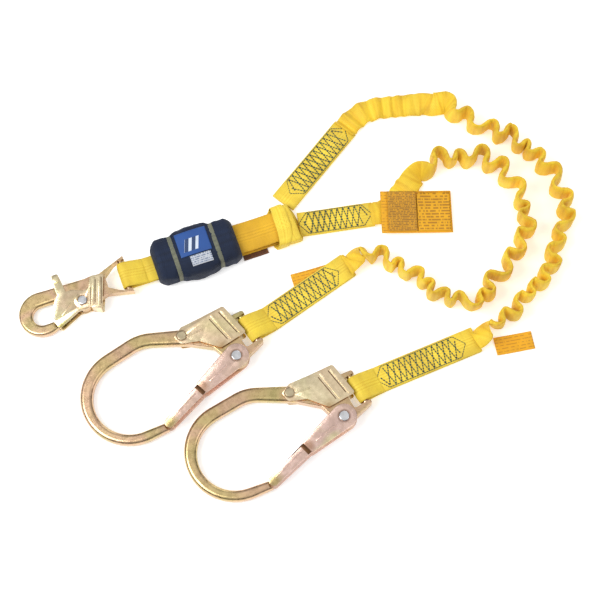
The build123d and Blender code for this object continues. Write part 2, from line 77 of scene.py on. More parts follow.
LEG_B_ROUTE = [
    (0.093, 0.106, FLAT_HEIGHT), (0.112, 0.109, FLAT_HEIGHT), (0.127, 0.123, FLAT_HEIGHT),
    (0.139, 0.141, 0.006), (0.153, 0.159, 0.010), (0.169, 0.174, EDGE_HEIGHT),
    (0.190, 0.185, EDGE_HEIGHT), (0.215, 0.188, EDGE_HEIGHT), (0.240, 0.186, EDGE_HEIGHT),
    (0.262, 0.173, EDGE_HEIGHT), (0.281, 0.152, EDGE_HEIGHT), (0.294, 0.128, EDGE_HEIGHT),
    (0.302, 0.102, EDGE_HEIGHT), (0.299, 0.076, EDGE_HEIGHT), (0.288, 0.056, EDGE_HEIGHT),
    (0.275, 0.039, EDGE_HEIGHT), (0.262, 0.023, EDGE_HEIGHT), (0.248, 0.005, EDGE_HEIGHT),
    (0.233, -0.012, EDGE_HEIGHT), (0.213, -0.022, EDGE_HEIGHT), (0.192, -0.021, EDGE_HEIGHT),
    (0.176, -0.008, EDGE_HEIGHT), (0.162, 0.008, EDGE_HEIGHT), (0.147, 0.022, EDGE_HEIGHT),
    (0.129, 0.033, EDGE_HEIGHT), (0.110, 0.043, EDGE_HEIGHT), (0.093, 0.050, EDGE_HEIGHT),
    (0.075, 0.043, 0.013), (0.060, 0.032, 0.0075),
]

UP = Vector((0, 0, 1))

# ------------------------------------------------------------------ measures, in metres

ROW_STEP = 0.0011  # from one row of webbing to the next
WRINKLE_SIZE = 0.006
SIDE_REACH = 0.0122  # how far a fold's middle may go from the leg's line
WAY_WINDOW = 0.004  # half the stretch of a route that its direction is read over

HOOK_NECK = 0.030  # rebar hook's crossbar to where its strap turns
REBAR_BAR_RADIUS = 0.0045
SNAP_NECK = 0.026
SNAP_BAR_RADIUS = 0.004
STITCH_PITCH = 0.0154
STITCH_LENGTH = 0.0036
STITCH_THICK = 0.0009
BORDER_STITCH_LENGTH = 0.0034
BORDER_STITCH_THICK = 0.0006
STADIUM_STEP = 0.0014
LABEL_DIP = 0.030  # how much the labels drop for each metre along

FLOOR_HALF_SIZE = 30.0
DARK_RING = (0.30, 0.24, 0.20, 1)  # shadow round a rivet head


# ------------------------------------------------------------------ settings


class LanyardWebbing(bpy.types.PropertyGroup):
    """Sizes of the webbing"""

    strap_width: FloatProperty(
        name="Strap width", description="Width of the flat straps", default=0.035, unit="LENGTH"
    )
    ply: FloatProperty(
        name="Ply", description="Thickness of one layer of webbing", default=0.0024, unit="LENGTH"
    )
    elastic_width: FloatProperty(
        name="Elastic width", description="Width of the crimped legs", default=0.0325, unit="LENGTH"
    )
    fold: FloatProperty(
        name="Fold", description="Webbing length in one full crimp", default=0.060, unit="LENGTH"
    )
    fold_angle: FloatProperty(
        name="Fold angle", description="How far a crimp swings off the leg's line", default=1.42,
        subtype="ANGLE",
    )
    seed: IntProperty(name="Seed", description="Seed of the crimps' unevenness", default=7)


class LanyardColours(bpy.types.PropertyGroup):
    """Main colours"""

    yellow: FloatVectorProperty(
        name="Webbing", description="Yellow of the webbing", subtype="COLOR", size=4,
        default=(0.98, 0.77, 0.075, 1.0),
    )
    # painted shade: a deeper yellow laid into the valleys between the webbing's yarns
    yellow_valley_shade: FloatVectorProperty(
        name="Webbing shade", description="Deeper yellow between the yarns", subtype="COLOR", size=4,
        default=(0.80, 0.47, 0.018, 1.0),
    )
    navy: FloatVectorProperty(
        name="Pack", description="Navy of the pack's cover", subtype="COLOR", size=4,
        default=(0.003, 0.008, 0.024, 1.0),
    )


class LanyardStage(bpy.types.PropertyGroup):
    """Camera and light"""

    distance: FloatProperty(
        name="Distance", description="Camera distance", default=1.9, unit="LENGTH"
    )
    elevation: FloatProperty(
        name="Elevation", description="Camera height angle", default=math.radians(70), subtype="ANGLE"
    )
    lens: FloatProperty(name="Lens", description="Focal length in millimetres", default=87.7)


# ------------------------------------------------------------------ shader helpers


def add_node(tree, kind, inputs=None, **settings):
    """A node with its settings, and its inputs set to values or linked to sockets."""
    made = tree.nodes.new(kind)
    for key, value in settings.items():
        setattr(made, key, value)
    for key, value in (inputs or {}).items():
        if isinstance(value, bpy.types.NodeSocket):
            tree.links.new(value, made.inputs[key])
        else:
            made.inputs[key].default_value = value
    return made


def maths(tree, operation, first, second=0.0, third=None):
    made = tree.nodes.new("ShaderNodeMath")
    made.operation = operation
    values = [first, second] if third is None else [first, second, third]
    for place, value in enumerate(values):
        if isinstance(value, bpy.types.NodeSocket):
            tree.links.new(value, made.inputs[place])
        else:
            made.inputs[place].default_value = value
    return made.outputs[0]


def blend_colours(tree, factor, first, second, blend_type="MIX"):
    made = tree.nodes.new("ShaderNodeMix")
    made.data_type = "RGBA"
    made.blend_type = blend_type
    for socket, value in ((made.inputs[0], factor), (made.inputs[6], first), (made.inputs[7], second)):
        if isinstance(value, bpy.types.NodeSocket):
            tree.links.new(value, socket)
        else:
            socket.default_value = value
    return made.outputs[2]


def make_group(name, inputs, outputs):
    """An empty node group with named float, colour or vector sockets."""
    group = bpy.data.node_groups.new(name, "ShaderNodeTree")
    for label, kind, default in inputs:
        socket = group.interface.new_socket(label, in_out="INPUT", socket_type=kind)
        if default is not None:
            socket.default_value = default
    for label, kind in outputs:
        group.interface.new_socket(label, in_out="OUTPUT", socket_type=kind)
    source = group.nodes.new("NodeGroupInput")
    target = group.nodes.new("NodeGroupOutput")
    return group, source, target


def webbing_weave_group():
    """Narrow columns of slanted yarns along the strap, from a UV map in metres."""
    group, source, target = make_group(
        "webbing weave",
        [("Vector", "NodeSocketVector", None), ("Column", "NodeSocketFloat", 0.0023),
         ("Yarn", "NodeSocketFloat", 0.0016)],
        [("Height", "NodeSocketFloat"), ("Valley", "NodeSocketFloat")],
    )
    split = add_node(group, "ShaderNodeSeparateXYZ", {0: source.outputs["Vector"]})
    across = maths(group, "DIVIDE", split.outputs[1], source.outputs["Column"])
    fold = maths(group, "PINGPONG", across, 0.5)
    along = maths(group, "DIVIDE", split.outputs[0], source.outputs["Yarn"])
    phase = maths(group, "ADD", along, maths(group, "MULTIPLY", fold, 1.6))
    yarn = maths(group, "SINE", maths(group, "MULTIPLY", phase, 2 * math.pi))
    yarn = maths(group, "MULTIPLY_ADD", yarn, 0.5, 0.5)
    column = maths(group, "SINE", maths(group, "MULTIPLY", fold, 2 * math.pi))
    height = maths(group, "ADD", maths(group, "MULTIPLY", yarn, 0.45), maths(group, "MULTIPLY", column, 0.55))
    valley = maths(group, "SUBTRACT", 1.0, height)
    group.links.new(height, target.inputs["Height"])
    group.links.new(maths(group, "POWER", valley, 2.0), target.inputs["Valley"])
    return group


def plain_weave_group():
    """Crossing yarns of a plain cloth, from any coordinates in metres."""
    group, source, target = make_group(
        "plain weave",
        [("Vector", "NodeSocketVector", None), ("Pitch", "NodeSocketFloat", 0.0012)],
        [("Height", "NodeSocketFloat")],
    )
    split = add_node(group, "ShaderNodeSeparateXYZ", {0: source.outputs["Vector"]})
    first = maths(group, "DIVIDE", split.outputs[0], source.outputs["Pitch"])
    second = maths(group, "DIVIDE", split.outputs[1], source.outputs["Pitch"])
    warp = maths(group, "ABSOLUTE", maths(group, "SINE", maths(group, "MULTIPLY", first, math.pi)))
    weft = maths(group, "ABSOLUTE", maths(group, "SINE", maths(group, "MULTIPLY", second, math.pi)))
    parity = maths(group, "ADD", maths(group, "FLOOR", first), maths(group, "FLOOR", second))
    parity = maths(group, "FLOORED_MODULO", parity, 2.0)
    other = maths(group, "SUBTRACT", 1.0, parity)
    warp_over = maths(group, "MULTIPLY", warp, parity)
    weft_over = maths(group, "MULTIPLY", weft, other)
    height = maths(group, "ADD", warp_over, weft_over)
    group.links.new(height, target.inputs["Height"])
    return group


def soil_group():
    """Uneven tone: broad patches and fine lint."""
    group, source, target = make_group(
        "uneven tone",
        [("Vector", "NodeSocketVector", None), ("Size", "NodeSocketFloat", 0.05)],
        [("Patches", "NodeSocketFloat"), ("Lint", "NodeSocketFloat")],
    )
    scale = maths(group, "DIVIDE", 1.0, source.outputs["Size"])
    broad = add_node(group, "ShaderNodeTexNoise",
                     {"Vector": source.outputs["Vector"], "Scale": scale, "Detail": 3.0})
    fine = add_node(group, "ShaderNodeTexNoise",
                    {"Vector": source.outputs["Vector"], "Scale": 900.0, "Detail": 2.0})
    group.links.new(broad.outputs["Fac"], target.inputs["Patches"])
    group.links.new(fine.outputs["Fac"], target.inputs["Lint"])
    return group


GROUPS = {}


def shared(name):
    """The shared effects, each built once."""
    makers = {"weave": webbing_weave_group, "plain": plain_weave_group, "soil": soil_group}
    if name not in GROUPS:
        GROUPS[name] = makers[name]()
    return GROUPS[name]


def use_group(tree, name, inputs):
    made = tree.nodes.new("ShaderNodeGroup")
    made.node_tree = shared(name)
    for key, value in inputs.items():
        if isinstance(value, bpy.types.NodeSocket):
            tree.links.new(value, made.inputs[key])
        else:
            made.inputs[key].default_value = value
    return made


def start_material(name, roughness, metallic=0.0, **plain):
    material = bpy.data.materials.new(name)
    material.use_nodes = True
    tree = material.node_tree
    shader = tree.nodes["Principled BSDF"]
    shader.inputs["Roughness"].default_value = roughness
    shader.inputs["Metallic"].default_value = metallic
    for key, value in plain.items():
        shader.inputs[key.replace("_", " ")].default_value = value
    return material, tree, shader


def ramp(tree, factor, stops):
    made = add_node(tree, "ShaderNodeValToRGB", {"Fac": factor})
    elements = made.color_ramp.elements
    while len(elements) < len(stops):
        elements.new(0.5)
    for element, (place, colour) in zip(elements, stops):
        element.position = place
        element.color = (*colour[:3], 1.0)
    return made.outputs["Color"]


def attach_bump(tree, shader, height, distance, strength=1.0):
    bump = add_node(tree, "ShaderNodeBump", {"Height": height, "Distance": distance, "Strength": strength})
    tree.links.new(bump.outputs["Normal"], shader.inputs["Normal"])


def webbing_material(name, light, valley_shade, column, yarn, depth, gather_shading=0.0):
    """Woven polyester webbing, read from the piece's UV map in metres."""
    material, tree, shader = start_material(name, 0.62, Sheen_Weight=0.06, Sheen_Roughness=0.4)
    place = add_node(tree, "ShaderNodeUVMap", uv_map="cloth").outputs["UV"]
    solid = add_node(tree, "ShaderNodeTexCoord").outputs["Object"]
    weave = use_group(tree, "weave", {"Vector": place, "Column": column, "Yarn": yarn})
    tone = use_group(tree, "soil", {"Vector": solid, "Size": 0.035})
    # painted shade: the weave's valleys are blended towards the shade colour
    base = blend_colours(tree, weave.outputs["Valley"], light, valley_shade)
    patches = ramp(tree, tone.outputs["Patches"], [(0.35, (0.86, 0.82, 0.80)), (0.65, (1.04, 1.04, 1.0))])
    base = blend_colours(tree, 1.0, base, patches, "MULTIPLY")
    lint = ramp(tree, tone.outputs["Lint"], [(0.3, (0.93, 0.92, 0.9)), (0.7, (1.03, 1.03, 1.03))])
    base = blend_colours(tree, 1.0, base, lint, "MULTIPLY")
    # painted shade in the gathers' valleys and painted highlight on their crests, from noise stretched across
    # the webbing
    if gather_shading:
        stretch = add_node(tree, "ShaderNodeMapping", {"Vector": place, "Scale": (170.0, 22.0, 1.0)})
        folds = add_node(tree, "ShaderNodeTexNoise",
                         {"Vector": stretch.outputs["Vector"], "Scale": 1.0, "Detail": 2.0})
        shade = ramp(tree, folds.outputs["Fac"],
                     [(0.32, (0.88, 0.76, 0.55)), (0.50, (1.02, 1.02, 1.0)), (0.70, (1.06, 1.14, 1.5))])
        base = blend_colours(tree, gather_shading, base, shade, "MULTIPLY")
    tree.links.new(base, shader.inputs["Base Color"])
    rough = maths(tree, "MULTIPLY_ADD", weave.outputs["Valley"], 0.25, 0.55)
    tree.links.new(rough, shader.inputs["Roughness"])
    attach_bump(tree, shader, weave.outputs["Height"], depth, 0.6)
    return material


def thread_material(name, colour):
    """Twisted sewing thread."""
    material, tree, shader = start_material(name, 0.5, Sheen_Weight=0.2)
    solid = add_node(tree, "ShaderNodeTexCoord").outputs["Object"]
    twist = add_node(tree, "ShaderNodeTexNoise", {"Vector": solid, "Scale": 1500.0})
    base = blend_colours(tree, twist.outputs["Fac"], colour, [c * 2.2 for c in colour[:3]] + [1.0])
    tree.links.new(base, shader.inputs["Base Color"])
    attach_bump(tree, shader, twist.outputs["Fac"], 0.0003, 0.5)
    return material


def cloth_material(name, colour, pitch, lift):
    """Plain woven nylon, read from the piece's UV map in metres."""
    material, tree, shader = start_material(name, 0.8, Sheen_Weight=0.04, Sheen_Roughness=0.4)
    place = add_node(tree, "ShaderNodeUVMap", uv_map="cloth").outputs["UV"]
    solid = add_node(tree, "ShaderNodeTexCoord").outputs["Object"]
    weave = use_group(tree, "plain", {"Vector": place, "Pitch": pitch})
    tone = use_group(tree, "soil", {"Vector": solid, "Size": 0.02})
    # painted highlight: the raised yarns are made lift times lighter than the cloth's colour
    pale = [c * lift for c in colour[:3]] + [1.0]
    base = blend_colours(tree, weave.outputs["Height"], colour, pale)
    patches = ramp(tree, tone.outputs["Patches"], [(0.3, (0.75, 0.77, 0.8)), (0.7, (1.2, 1.18, 1.15))])
    base = blend_colours(tree, 1.0, base, patches, "MULTIPLY")
    tree.links.new(base, shader.inputs["Base Color"])
    attach_bump(tree, shader, weave.outputs["Height"], 0.0004, 0.7)
    return material


def shade_near(tree, base, solid, spot, inner, outer, tint):
    """Tints a colour near a point, fading out between two distances."""
    away = add_node(tree, "ShaderNodeVectorMath", {0: solid, 1: spot}, operation="DISTANCE")
    fade = add_node(tree, "ShaderNodeMapRange",
                    {"Value": away.outputs["Value"], "From Min": inner, "From Max": outer,
                     "To Min": 1.0, "To Max": 0.0})
    return blend_colours(tree, fade.outputs[0], base, tint, "MULTIPLY")


def plated_steel(name, stops, roughness, grain, spots=()):
    """Zinc plated steel with soft rainbow patches, fine grain and handling marks."""
    material, tree, shader = start_material(name, roughness, 1.0)
    solid = add_node(tree, "ShaderNodeTexCoord").outputs["Object"]
    broad = add_node(tree, "ShaderNodeTexNoise",
                     {"Vector": solid, "Scale": 14.0, "Detail": 2.0, "Distortion": 0.6})
    base = ramp(tree, broad.outputs["Fac"], stops)
    marks = add_node(tree, "ShaderNodeTexNoise", {"Vector": solid, "Scale": 160.0, "Detail": 4.0})
    shade = ramp(tree, marks.outputs["Fac"], [(0.35, (0.86, 0.85, 0.83)), (0.6, (1.0, 1.0, 1.0))])
    base = blend_colours(tree, 1.0, base, shade, "MULTIPLY")
    for spot, inner, outer, tint in spots:
        base = shade_near(tree, base, solid, spot, inner, outer, tint)
    tree.links.new(base, shader.inputs["Base Color"])
    rough = maths(tree, "MULTIPLY_ADD", marks.outputs["Fac"], 0.22, roughness - 0.11)
    tree.links.new(rough, shader.inputs["Roughness"])
    pits = add_node(tree, "ShaderNodeTexNoise", {"Vector": solid, "Scale": grain, "Detail": 3.0})
    attach_bump(tree, shader, pits.outputs["Fac"], 0.0002, 0.35)
    return material


def printed_material(name, paper, ink, line, gap, broken):
    """A printed panel: rows of broken marks that only suggest print."""
    material, tree, shader = start_material(name, 0.6, Coat_Weight=0.04)
    place = add_node(tree, "ShaderNodeUVMap", uv_map="cloth").outputs["UV"]
    split = add_node(tree, "ShaderNodeSeparateXYZ", {0: place})
    row = maths(tree, "FRACT", maths(tree, "DIVIDE", split.outputs[1], line))
    on_row = maths(tree, "GREATER_THAN", row, gap)
    word_place = add_node(tree, "ShaderNodeCombineXYZ", {
        0: maths(tree, "MULTIPLY", split.outputs[0], broken),
        1: maths(tree, "MULTIPLY", maths(tree, "FLOOR", maths(tree, "DIVIDE", split.outputs[1], line)), 7.3),
    })
    words = add_node(tree, "ShaderNodeTexNoise",
                     {"Vector": word_place.outputs[0], "Scale": 1.0, "Detail": 1.0})
    on_word = maths(tree, "GREATER_THAN", words.outputs["Fac"], 0.47)
    mask = maths(tree, "MULTIPLY", maths(tree, "MULTIPLY", on_row, on_word), 0.8)
    solid = add_node(tree, "ShaderNodeTexCoord").outputs["Object"]
    tone = use_group(tree, "soil", {"Vector": solid, "Size": 0.02})
    base = blend_colours(tree, mask, paper, ink)
    patches = ramp(tree, tone.outputs["Patches"], [(0.3, (0.9, 0.88, 0.86)), (0.7, (1.04, 1.04, 1.04))])
    base = blend_colours(tree, 1.0, base, patches, "MULTIPLY")
    tree.links.new(base, shader.inputs["Base Color"])
    attach_bump(tree, shader, tone.outputs["Patches"], 0.0006, 0.4)
    return material


def mark_material(name, ground, pale, ink):
    """The pack's label: a blue panel with a slanted abstract mark."""
    material, tree, shader = start_material(name, 0.38, Coat_Weight=0.3)
    place = add_node(tree, "ShaderNodeUVMap", uv_map="cloth").outputs["UV"]
    split = add_node(tree, "ShaderNodeSeparateXYZ", {0: place})
    across = maths(tree, "SUBTRACT", split.outputs[0], maths(tree, "MULTIPLY", split.outputs[1], 0.35))
    stripe = maths(tree, "FRACT", maths(tree, "DIVIDE", across, 0.0095))
    bar = maths(tree, "GREATER_THAN", stripe, 0.45)
    inside = maths(tree, "MULTIPLY",
                   maths(tree, "COMPARE", across, 0.0135, 0.0095),
                   maths(tree, "COMPARE", split.outputs[1], 0.014, 0.0085))
    body = blend_colours(tree, inside, ground, pale)
    base = blend_colours(tree, maths(tree, "MULTIPLY", inside, bar), body, ink)
    solid = add_node(tree, "ShaderNodeTexCoord").outputs["Object"]
    tone = use_group(tree, "soil", {"Vector": solid, "Size": 0.02})
    patches = ramp(tree, tone.outputs["Patches"], [(0.3, (0.85, 0.88, 0.9)), (0.7, (1.1, 1.08, 1.06))])
    base = blend_colours(tree, 1.0, base, patches, "MULTIPLY")
    tree.links.new(base, shader.inputs["Base Color"])
    attach_bump(tree, shader, tone.outputs["Patches"], 0.0005, 0.4)
    return material


MATERIALS = {}


def finish_of(name):
    """The lanyard's finishes, each built once."""
    colours = bpy.context.scene.lanyard_colours
    yellow = list(colours.yellow)
    # painted shade of the weave's valleys; the elastic and wide finishes give theirs as their second colour
    valley_shade = list(colours.yellow_valley_shade)
    makers = {
        # the last number of the strap and elastic finishes sets the strength of the painted gather shade and
        # highlight
        "strap": lambda: webbing_material("strap webbing", yellow, valley_shade, 0.0024, 0.0017, 0.0004, 0.25),
        "elastic": lambda: webbing_material(
            "elastic webbing", [1.0, 0.72, 0.045, 1], [0.86, 0.47, 0.010, 1], 0.0017, 0.0022, 0.0004, 0.9),
        "wide": lambda: webbing_material(
            "wide webbing", [0.86, 0.50, 0.015, 1], [0.60, 0.30, 0.008, 1], 0.0026, 0.0018, 0.0004),
        "thread": lambda: thread_material("dark thread", [0.010, 0.030, 0.028, 1]),
        "thread_green": lambda: thread_material("green thread", [0.030, 0.065, 0.035, 1]),
        "navy": lambda: cloth_material("navy cover", list(colours.navy), 0.0013, 2.2),
        "band": lambda: cloth_material("grey band", [0.115, 0.12, 0.085, 1], 0.0009, 1.8),
        "forged": lambda: plated_steel(
            "forged plated steel",
            [(0.25, (0.52, 0.46, 0.19)), (0.42, (0.65, 0.48, 0.24)), (0.56, (0.69, 0.46, 0.30)),
             (0.72, (0.57, 0.47, 0.21))], 0.28, 700.0),
        "stamped": lambda: plated_steel(
            "stamped plated steel",
            [(0.25, (0.86, 0.74, 0.44)), (0.45, (0.86, 0.68, 0.48)), (0.60, (0.90, 0.78, 0.52)),
             (0.75, (0.80, 0.74, 0.42))], 0.25, 1100.0),
        "rivet": lambda: plated_steel(
            "bright rivet", [(0.3, (0.62, 0.63, 0.66)), (0.7, (0.82, 0.83, 0.86))], 0.22, 900.0),
        "dull_rivet": lambda: plated_steel(
            "dull rivet", [(0.3, (0.50, 0.42, 0.27)), (0.7, (0.66, 0.56, 0.38))], 0.34, 900.0),
        "spring": lambda: plated_steel(
            "spring wire", [(0.3, (0.30, 0.30, 0.31)), (0.7, (0.45, 0.45, 0.46))], 0.35, 900.0),
        "dark_band": lambda: plated_steel(
            "dark step", [(0.3, (0.10, 0.050, 0.025)), (0.7, (0.17, 0.085, 0.04))], 0.42, 700.0),
        "orange_print": lambda: printed_material(
            "orange label", [0.84, 0.43, 0.008, 1], [0.40, 0.16, 0.010, 1], 0.0042, 0.45, 300.0),
        "brown_print": lambda: printed_material(
            "dense label", [0.66, 0.32, 0.014, 1], [0.24, 0.11, 0.02, 1], 0.0024, 0.40, 520.0),
        "flag": lambda: printed_material(
            "flag label", [0.85, 0.42, 0.008, 1], [0.55, 0.22, 0.01, 1], 0.0042, 0.7, 260.0),
        "tab": lambda: printed_material(
            "dark tab", [0.13, 0.045, 0.012, 1], [0.06, 0.02, 0.008, 1], 0.004, 0.6, 200.0),
        "info": lambda: printed_material(
            "pale panel", [0.56, 0.60, 0.66, 1], [0.08, 0.13, 0.26, 1], 0.0028, 0.42, 700.0),
        "mark": lambda: mark_material(
            "blue panel", [0.012, 0.075, 0.30, 1], [0.62, 0.70, 0.82, 1], [0.02, 0.05, 0.14, 1]),
    }
    if name not in MATERIALS:
        MATERIALS[name] = makers[name]()
    return MATERIALS[name]


# ------------------------------------------------------------------ shapes


def put_in_scene(name, mesh, finish, body, slot, *replaced):
    """A finished piece: object at the origin, riding on a body."""
    piece = bpy.data.objects.new(name, mesh)
    bpy.context.scene.collection.objects.link(piece)
    mesh.materials.clear()
    mesh.materials.append(finish_of(finish))
    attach(piece, body)
    if replaced:
        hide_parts(*replaced)
    return piece


def mesh_from(form, name, smooth=True):
    bmesh.ops.recalc_face_normals(form, faces=form.faces)
    for face in form.faces:
        face.smooth = smooth
    mesh = bpy.data.meshes.new(name)
    form.to_mesh(mesh)
    form.free()
    return mesh


def rounded(angle, squareness_x, squareness_y):
    """A point of a rounded flat section: a superellipse of half sizes one."""
    c, s = math.cos(angle), math.sin(angle)
    return (
        math.copysign(abs(c) ** squareness_x, c),
        math.copysign(abs(s) ** squareness_y, s),
    )


def sweep_section(form, rows, around, place, closed_path=False):
    """Sweeps a closed section: place(row, angle) gives each point. A grid is rolled up and sewn."""
    cloth = form.loops.layers.uv.new("cloth")
    count = len(rows)
    made = bmesh.ops.create_grid(form, x_segments=count - 1, y_segments=around, size=0.5, calc_uvs=True)
    for vert in made["verts"]:
        row = round((vert.co.x + 0.5) * (count - 1))
        turn = (vert.co.y + 0.5) * 2 * math.pi
        vert.co = place(row, turn)
    length = sum((rows[i + 1][0] - rows[i][0]).length for i in range(count - 1))
    girth = 2.1 * 2 * rows[count // 2][3]
    for face in form.faces:
        for loop in face.loops:
            loop[cloth].uv.x *= length
            loop[cloth].uv.y *= girth
    bmesh.ops.remove_doubles(form, verts=form.verts, dist=1e-6)
    if not closed_path:
        ends = [edge for edge in form.edges if edge.is_boundary]
        bmesh.ops.holes_fill(form, edges=ends, sides=0)


def ribbon(name, rows, around=18, wrinkle=0.0, seed=0.0, closed_path=False, two_ply=False):
    """A strap from rows of (centre, across, face normal, half width, half thickness)."""

    def place(row, turn):
        centre, across, face, half_width, half_thick = rows[row]
        x, y = rounded(turn, 0.55, 0.75)
        if two_ply:
            y *= 1.0 - 0.35 * max(0.0, abs(x) - 0.9) / 0.1
        point = centre + across * (x * half_width) + face * (y * half_thick)
        if wrinkle:
            spot = Vector((row * ROW_STEP / WRINKLE_SIZE + seed, x * 0.9 + seed, y * 0.4))
            point += face * (noise.noise(spot) * wrinkle)
        return point

    form = bmesh.new()
    sweep_section(form, rows, around, place, closed_path)
    return mesh_from(form, name)


class Route:
    """A line through points read from a smooth spline, walked by length."""

    def __init__(self, points):
        self.points = points
        self.reach = [0.0]
        for before, after in zip(points, points[1:]):
            self.reach.append(self.reach[-1] + (after - before).length)
        self.length = self.reach[-1]
        self.last = 0

    def at(self, distance):
        distance = min(max(distance, 0.0), self.length)
        while self.last > 0 and self.reach[self.last] > distance:
            self.last -= 1
        while self.last < len(self.points) - 2 and self.reach[self.last + 1] < distance:
            self.last += 1
        low, high = self.reach[self.last], self.reach[self.last + 1]
        share = (distance - low) / (high - low)
        return self.points[self.last].lerp(self.points[self.last + 1], share)

    def way(self, distance):
        return (self.at(distance + WAY_WINDOW) - self.at(distance - WAY_WINDOW)).normalized()


def smooth_route(name, points):
    """The points of a NURBS spline with the given control points."""
    curve = bpy.data.curves.new(name, "CURVE")
    curve.dimensions = "3D"
    curve.resolution_u = 14
    spline = curve.splines.new("NURBS")
    spline.points.add(len(points) - 1)
    for control, point in zip(spline.points, points):
        control.co = (*point, 1.0)
    spline.order_u = 3
    spline.use_endpoint_u = True
    holder = bpy.data.objects.new(name, curve)
    bpy.context.scene.collection.objects.link(holder)
    bpy.context.view_layer.update()
    line = bpy.data.meshes.new_from_object(holder.evaluated_get(bpy.context.evaluated_depsgraph_get()))
    read = [vert.co.copy() for vert in line.vertices]
    bpy.data.objects.remove(holder)
    bpy.data.meshes.remove(line)
    bpy.data.curves.remove(curve)
    return Route(read)


def ease(value, start, stop):
    """Smooth step from 0 at start to 1 at stop."""
    share = min(max((value - start) / (stop - start), 0.0), 1.0)
    return share * share * (3 - 2 * share)


# ------------------------------------------------------------------ legs


def crimped_rows(route, flat_lumps, sizes, seed):
    """Rows of a crimped leg: lying flat with shallow lumps where its line is low, else on edge in folds."""
    draw = random.Random(seed)
    half_width = sizes.elastic_width / 2
    rows = []
    along = 0.0
    side = 0.0
    phase = 0.0
    fold = sizes.fold
    swing = sizes.fold_angle
    turn_count = 0
    while along < route.length:
        spot = route.at(along)
        stands = ease(spot.z, FLAT_HEIGHT, EDGE_HEIGHT - 0.0005)
        angle = swing * stands * math.sin(phase)
        along += math.cos(angle) * ROW_STEP
        limit = SIDE_REACH * stands ** 4
        side = max(-limit, min(limit, side * 0.990 + math.sin(angle) * ROW_STEP))
        phase += 2 * math.pi * ROW_STEP / fold
        if phase > (turn_count + 1) * math.pi:
            turn_count += 1
            fold = sizes.fold * draw.choice((0.56, 0.72, 0.84, 0.94, 1.0, 1.08))
            swing = sizes.fold_angle * draw.uniform(0.82, 1.12)
        lean = 0.16 * noise.noise(Vector((along * 40, seed, 0)))
        way = route.way(along)
        flat_way = Vector((way.x, way.y, 0)).normalized()
        left = UP.cross(flat_way)
        ripple = math.sin(2 * math.pi * along / 0.0170 + 1.6 * math.sin(along * 61 + seed))
        lump = flat_lumps * (1 - stands) * ripple * (0.8 + 0.5 * math.sin(along * 37 + seed))
        web_way = (flat_way * math.cos(angle) + left * math.sin(angle)).normalized()
        web_left = UP.cross(web_way)
        stand_angle = math.asin(min(stands, 1.0)) + lean * stands
        across = (web_left * math.cos(stand_angle) + UP * math.sin(stand_angle)).normalized()
        face = web_way.cross(across).normalized()
        height = max(half_width * abs(math.sin(stand_angle)) + 0.0016, spot.z)
        centre = Vector((spot.x, spot.y, height)) + left * side + face * lump
        thick = 0.0025 + 0.0013 * abs(math.sin(phase)) ** 2 * stands
        rows.append((centre, across, face, half_width, thick))
    return rows


def make_leg(name, route_points, flat_lumps, node, sizes, seed):
    route = smooth_route(name + "_line", route_points)
    rows = crimped_rows(route, flat_lumps, sizes, seed)

    def place(row, turn):
        centre, across, face, half_width, thick = rows[row]
        x, y = rounded(turn, 0.62, 0.70)
        crease = noise.noise(Vector((row * 0.16, x * 0.7 + seed, 3.1)))
        pucker = noise.noise(Vector((row * 0.42, x * 1.6 + seed, 9.7)))
        swell = 1.0 + 0.16 * crease
        edge = 1.0 + 0.06 * noise.noise(Vector((row * 0.16, seed, 5.0 + (x > 0))))
        return (centre + across * (x * half_width * edge)
                + face * (y * thick * swell + 0.00055 * pucker + 0.0006 * crease * (1 - x * x)))

    form = bmesh.new()
    sweep_section(form, rows, 20, place)
    piece = put_in_scene(name, mesh_from(form, name), "elastic", "webbing", "elastic_webbing", node)
    tuple(route.points[0])
    [tuple(p) for p in route.points]
    return piece


class LANYARD_OT_legs(bpy.types.Operator):
    """Two legs of crimped tubular elastic webbing"""

    bl_idname = "lanyard.legs"
    bl_label = "Elastic legs"

    def execute(self, context):
        sizes = context.scene.lanyard_webbing
        make_leg("leg_a_crimped_web", LEG_A_ROUTE, 0.0021, "leg_a_elastic", sizes, sizes.seed)
        make_leg("leg_b_crimped_web", LEG_B_ROUTE, 0.0009, "leg_b_elastic", sizes, sizes.seed + 4)
        return {"FINISHED"}


# ------------------------------------------------------------------ straps


def joint_named(name):
    return next(joint for joint in frame["record"]["behaviour"]["joints"] if joint["name"] == name)


def crossbar(name):
    """Centre of a hook's crossbar, and the level direction away from the hook."""
    joint = joint_named(name)
    axis = Vector(joint["axis"])
    toward_bend = Vector((axis.x, axis.y, 0)).normalized().cross(UP)
    return Vector(joint["pos_m"]), -toward_bend


class StrapPlan:
    """The strap's line on the ground: out of a crossbar, then turned to the strap's own way."""

    def __init__(self, start, first_way, neck, end):
        self.start = start
        self.first_way = first_way
        self.neck = neck
        knee = start + first_way * neck
        self.second_way = Vector((end.x - knee.x, end.y - knee.y, 0)).normalized()
        self.length = neck + Vector((end.x - knee.x, end.y - knee.y, 0)).length
        self.table = []
        spot = Vector((start.x, start.y, 0))
        step = 0.001
        for count in range(int(self.length / step) + 40):
            self.table.append(spot.copy())
            spot = spot + self.way(count * step) * step
        self.step = step

    def way(self, distance):
        share = ease(distance, self.neck - 0.012, self.neck + 0.012)
        return self.first_way.lerp(self.second_way, share).normalized()

    def at(self, distance):
        if distance <= 0:
            flat = Vector((self.start.x, self.start.y, 0))
            return flat + self.first_way * distance
        count = distance / self.step
        low = min(int(count), len(self.table) - 2)
        return self.table[low].lerp(self.table[low + 1], count - low)

    def left(self, distance):
        return UP.cross(self.way(distance))


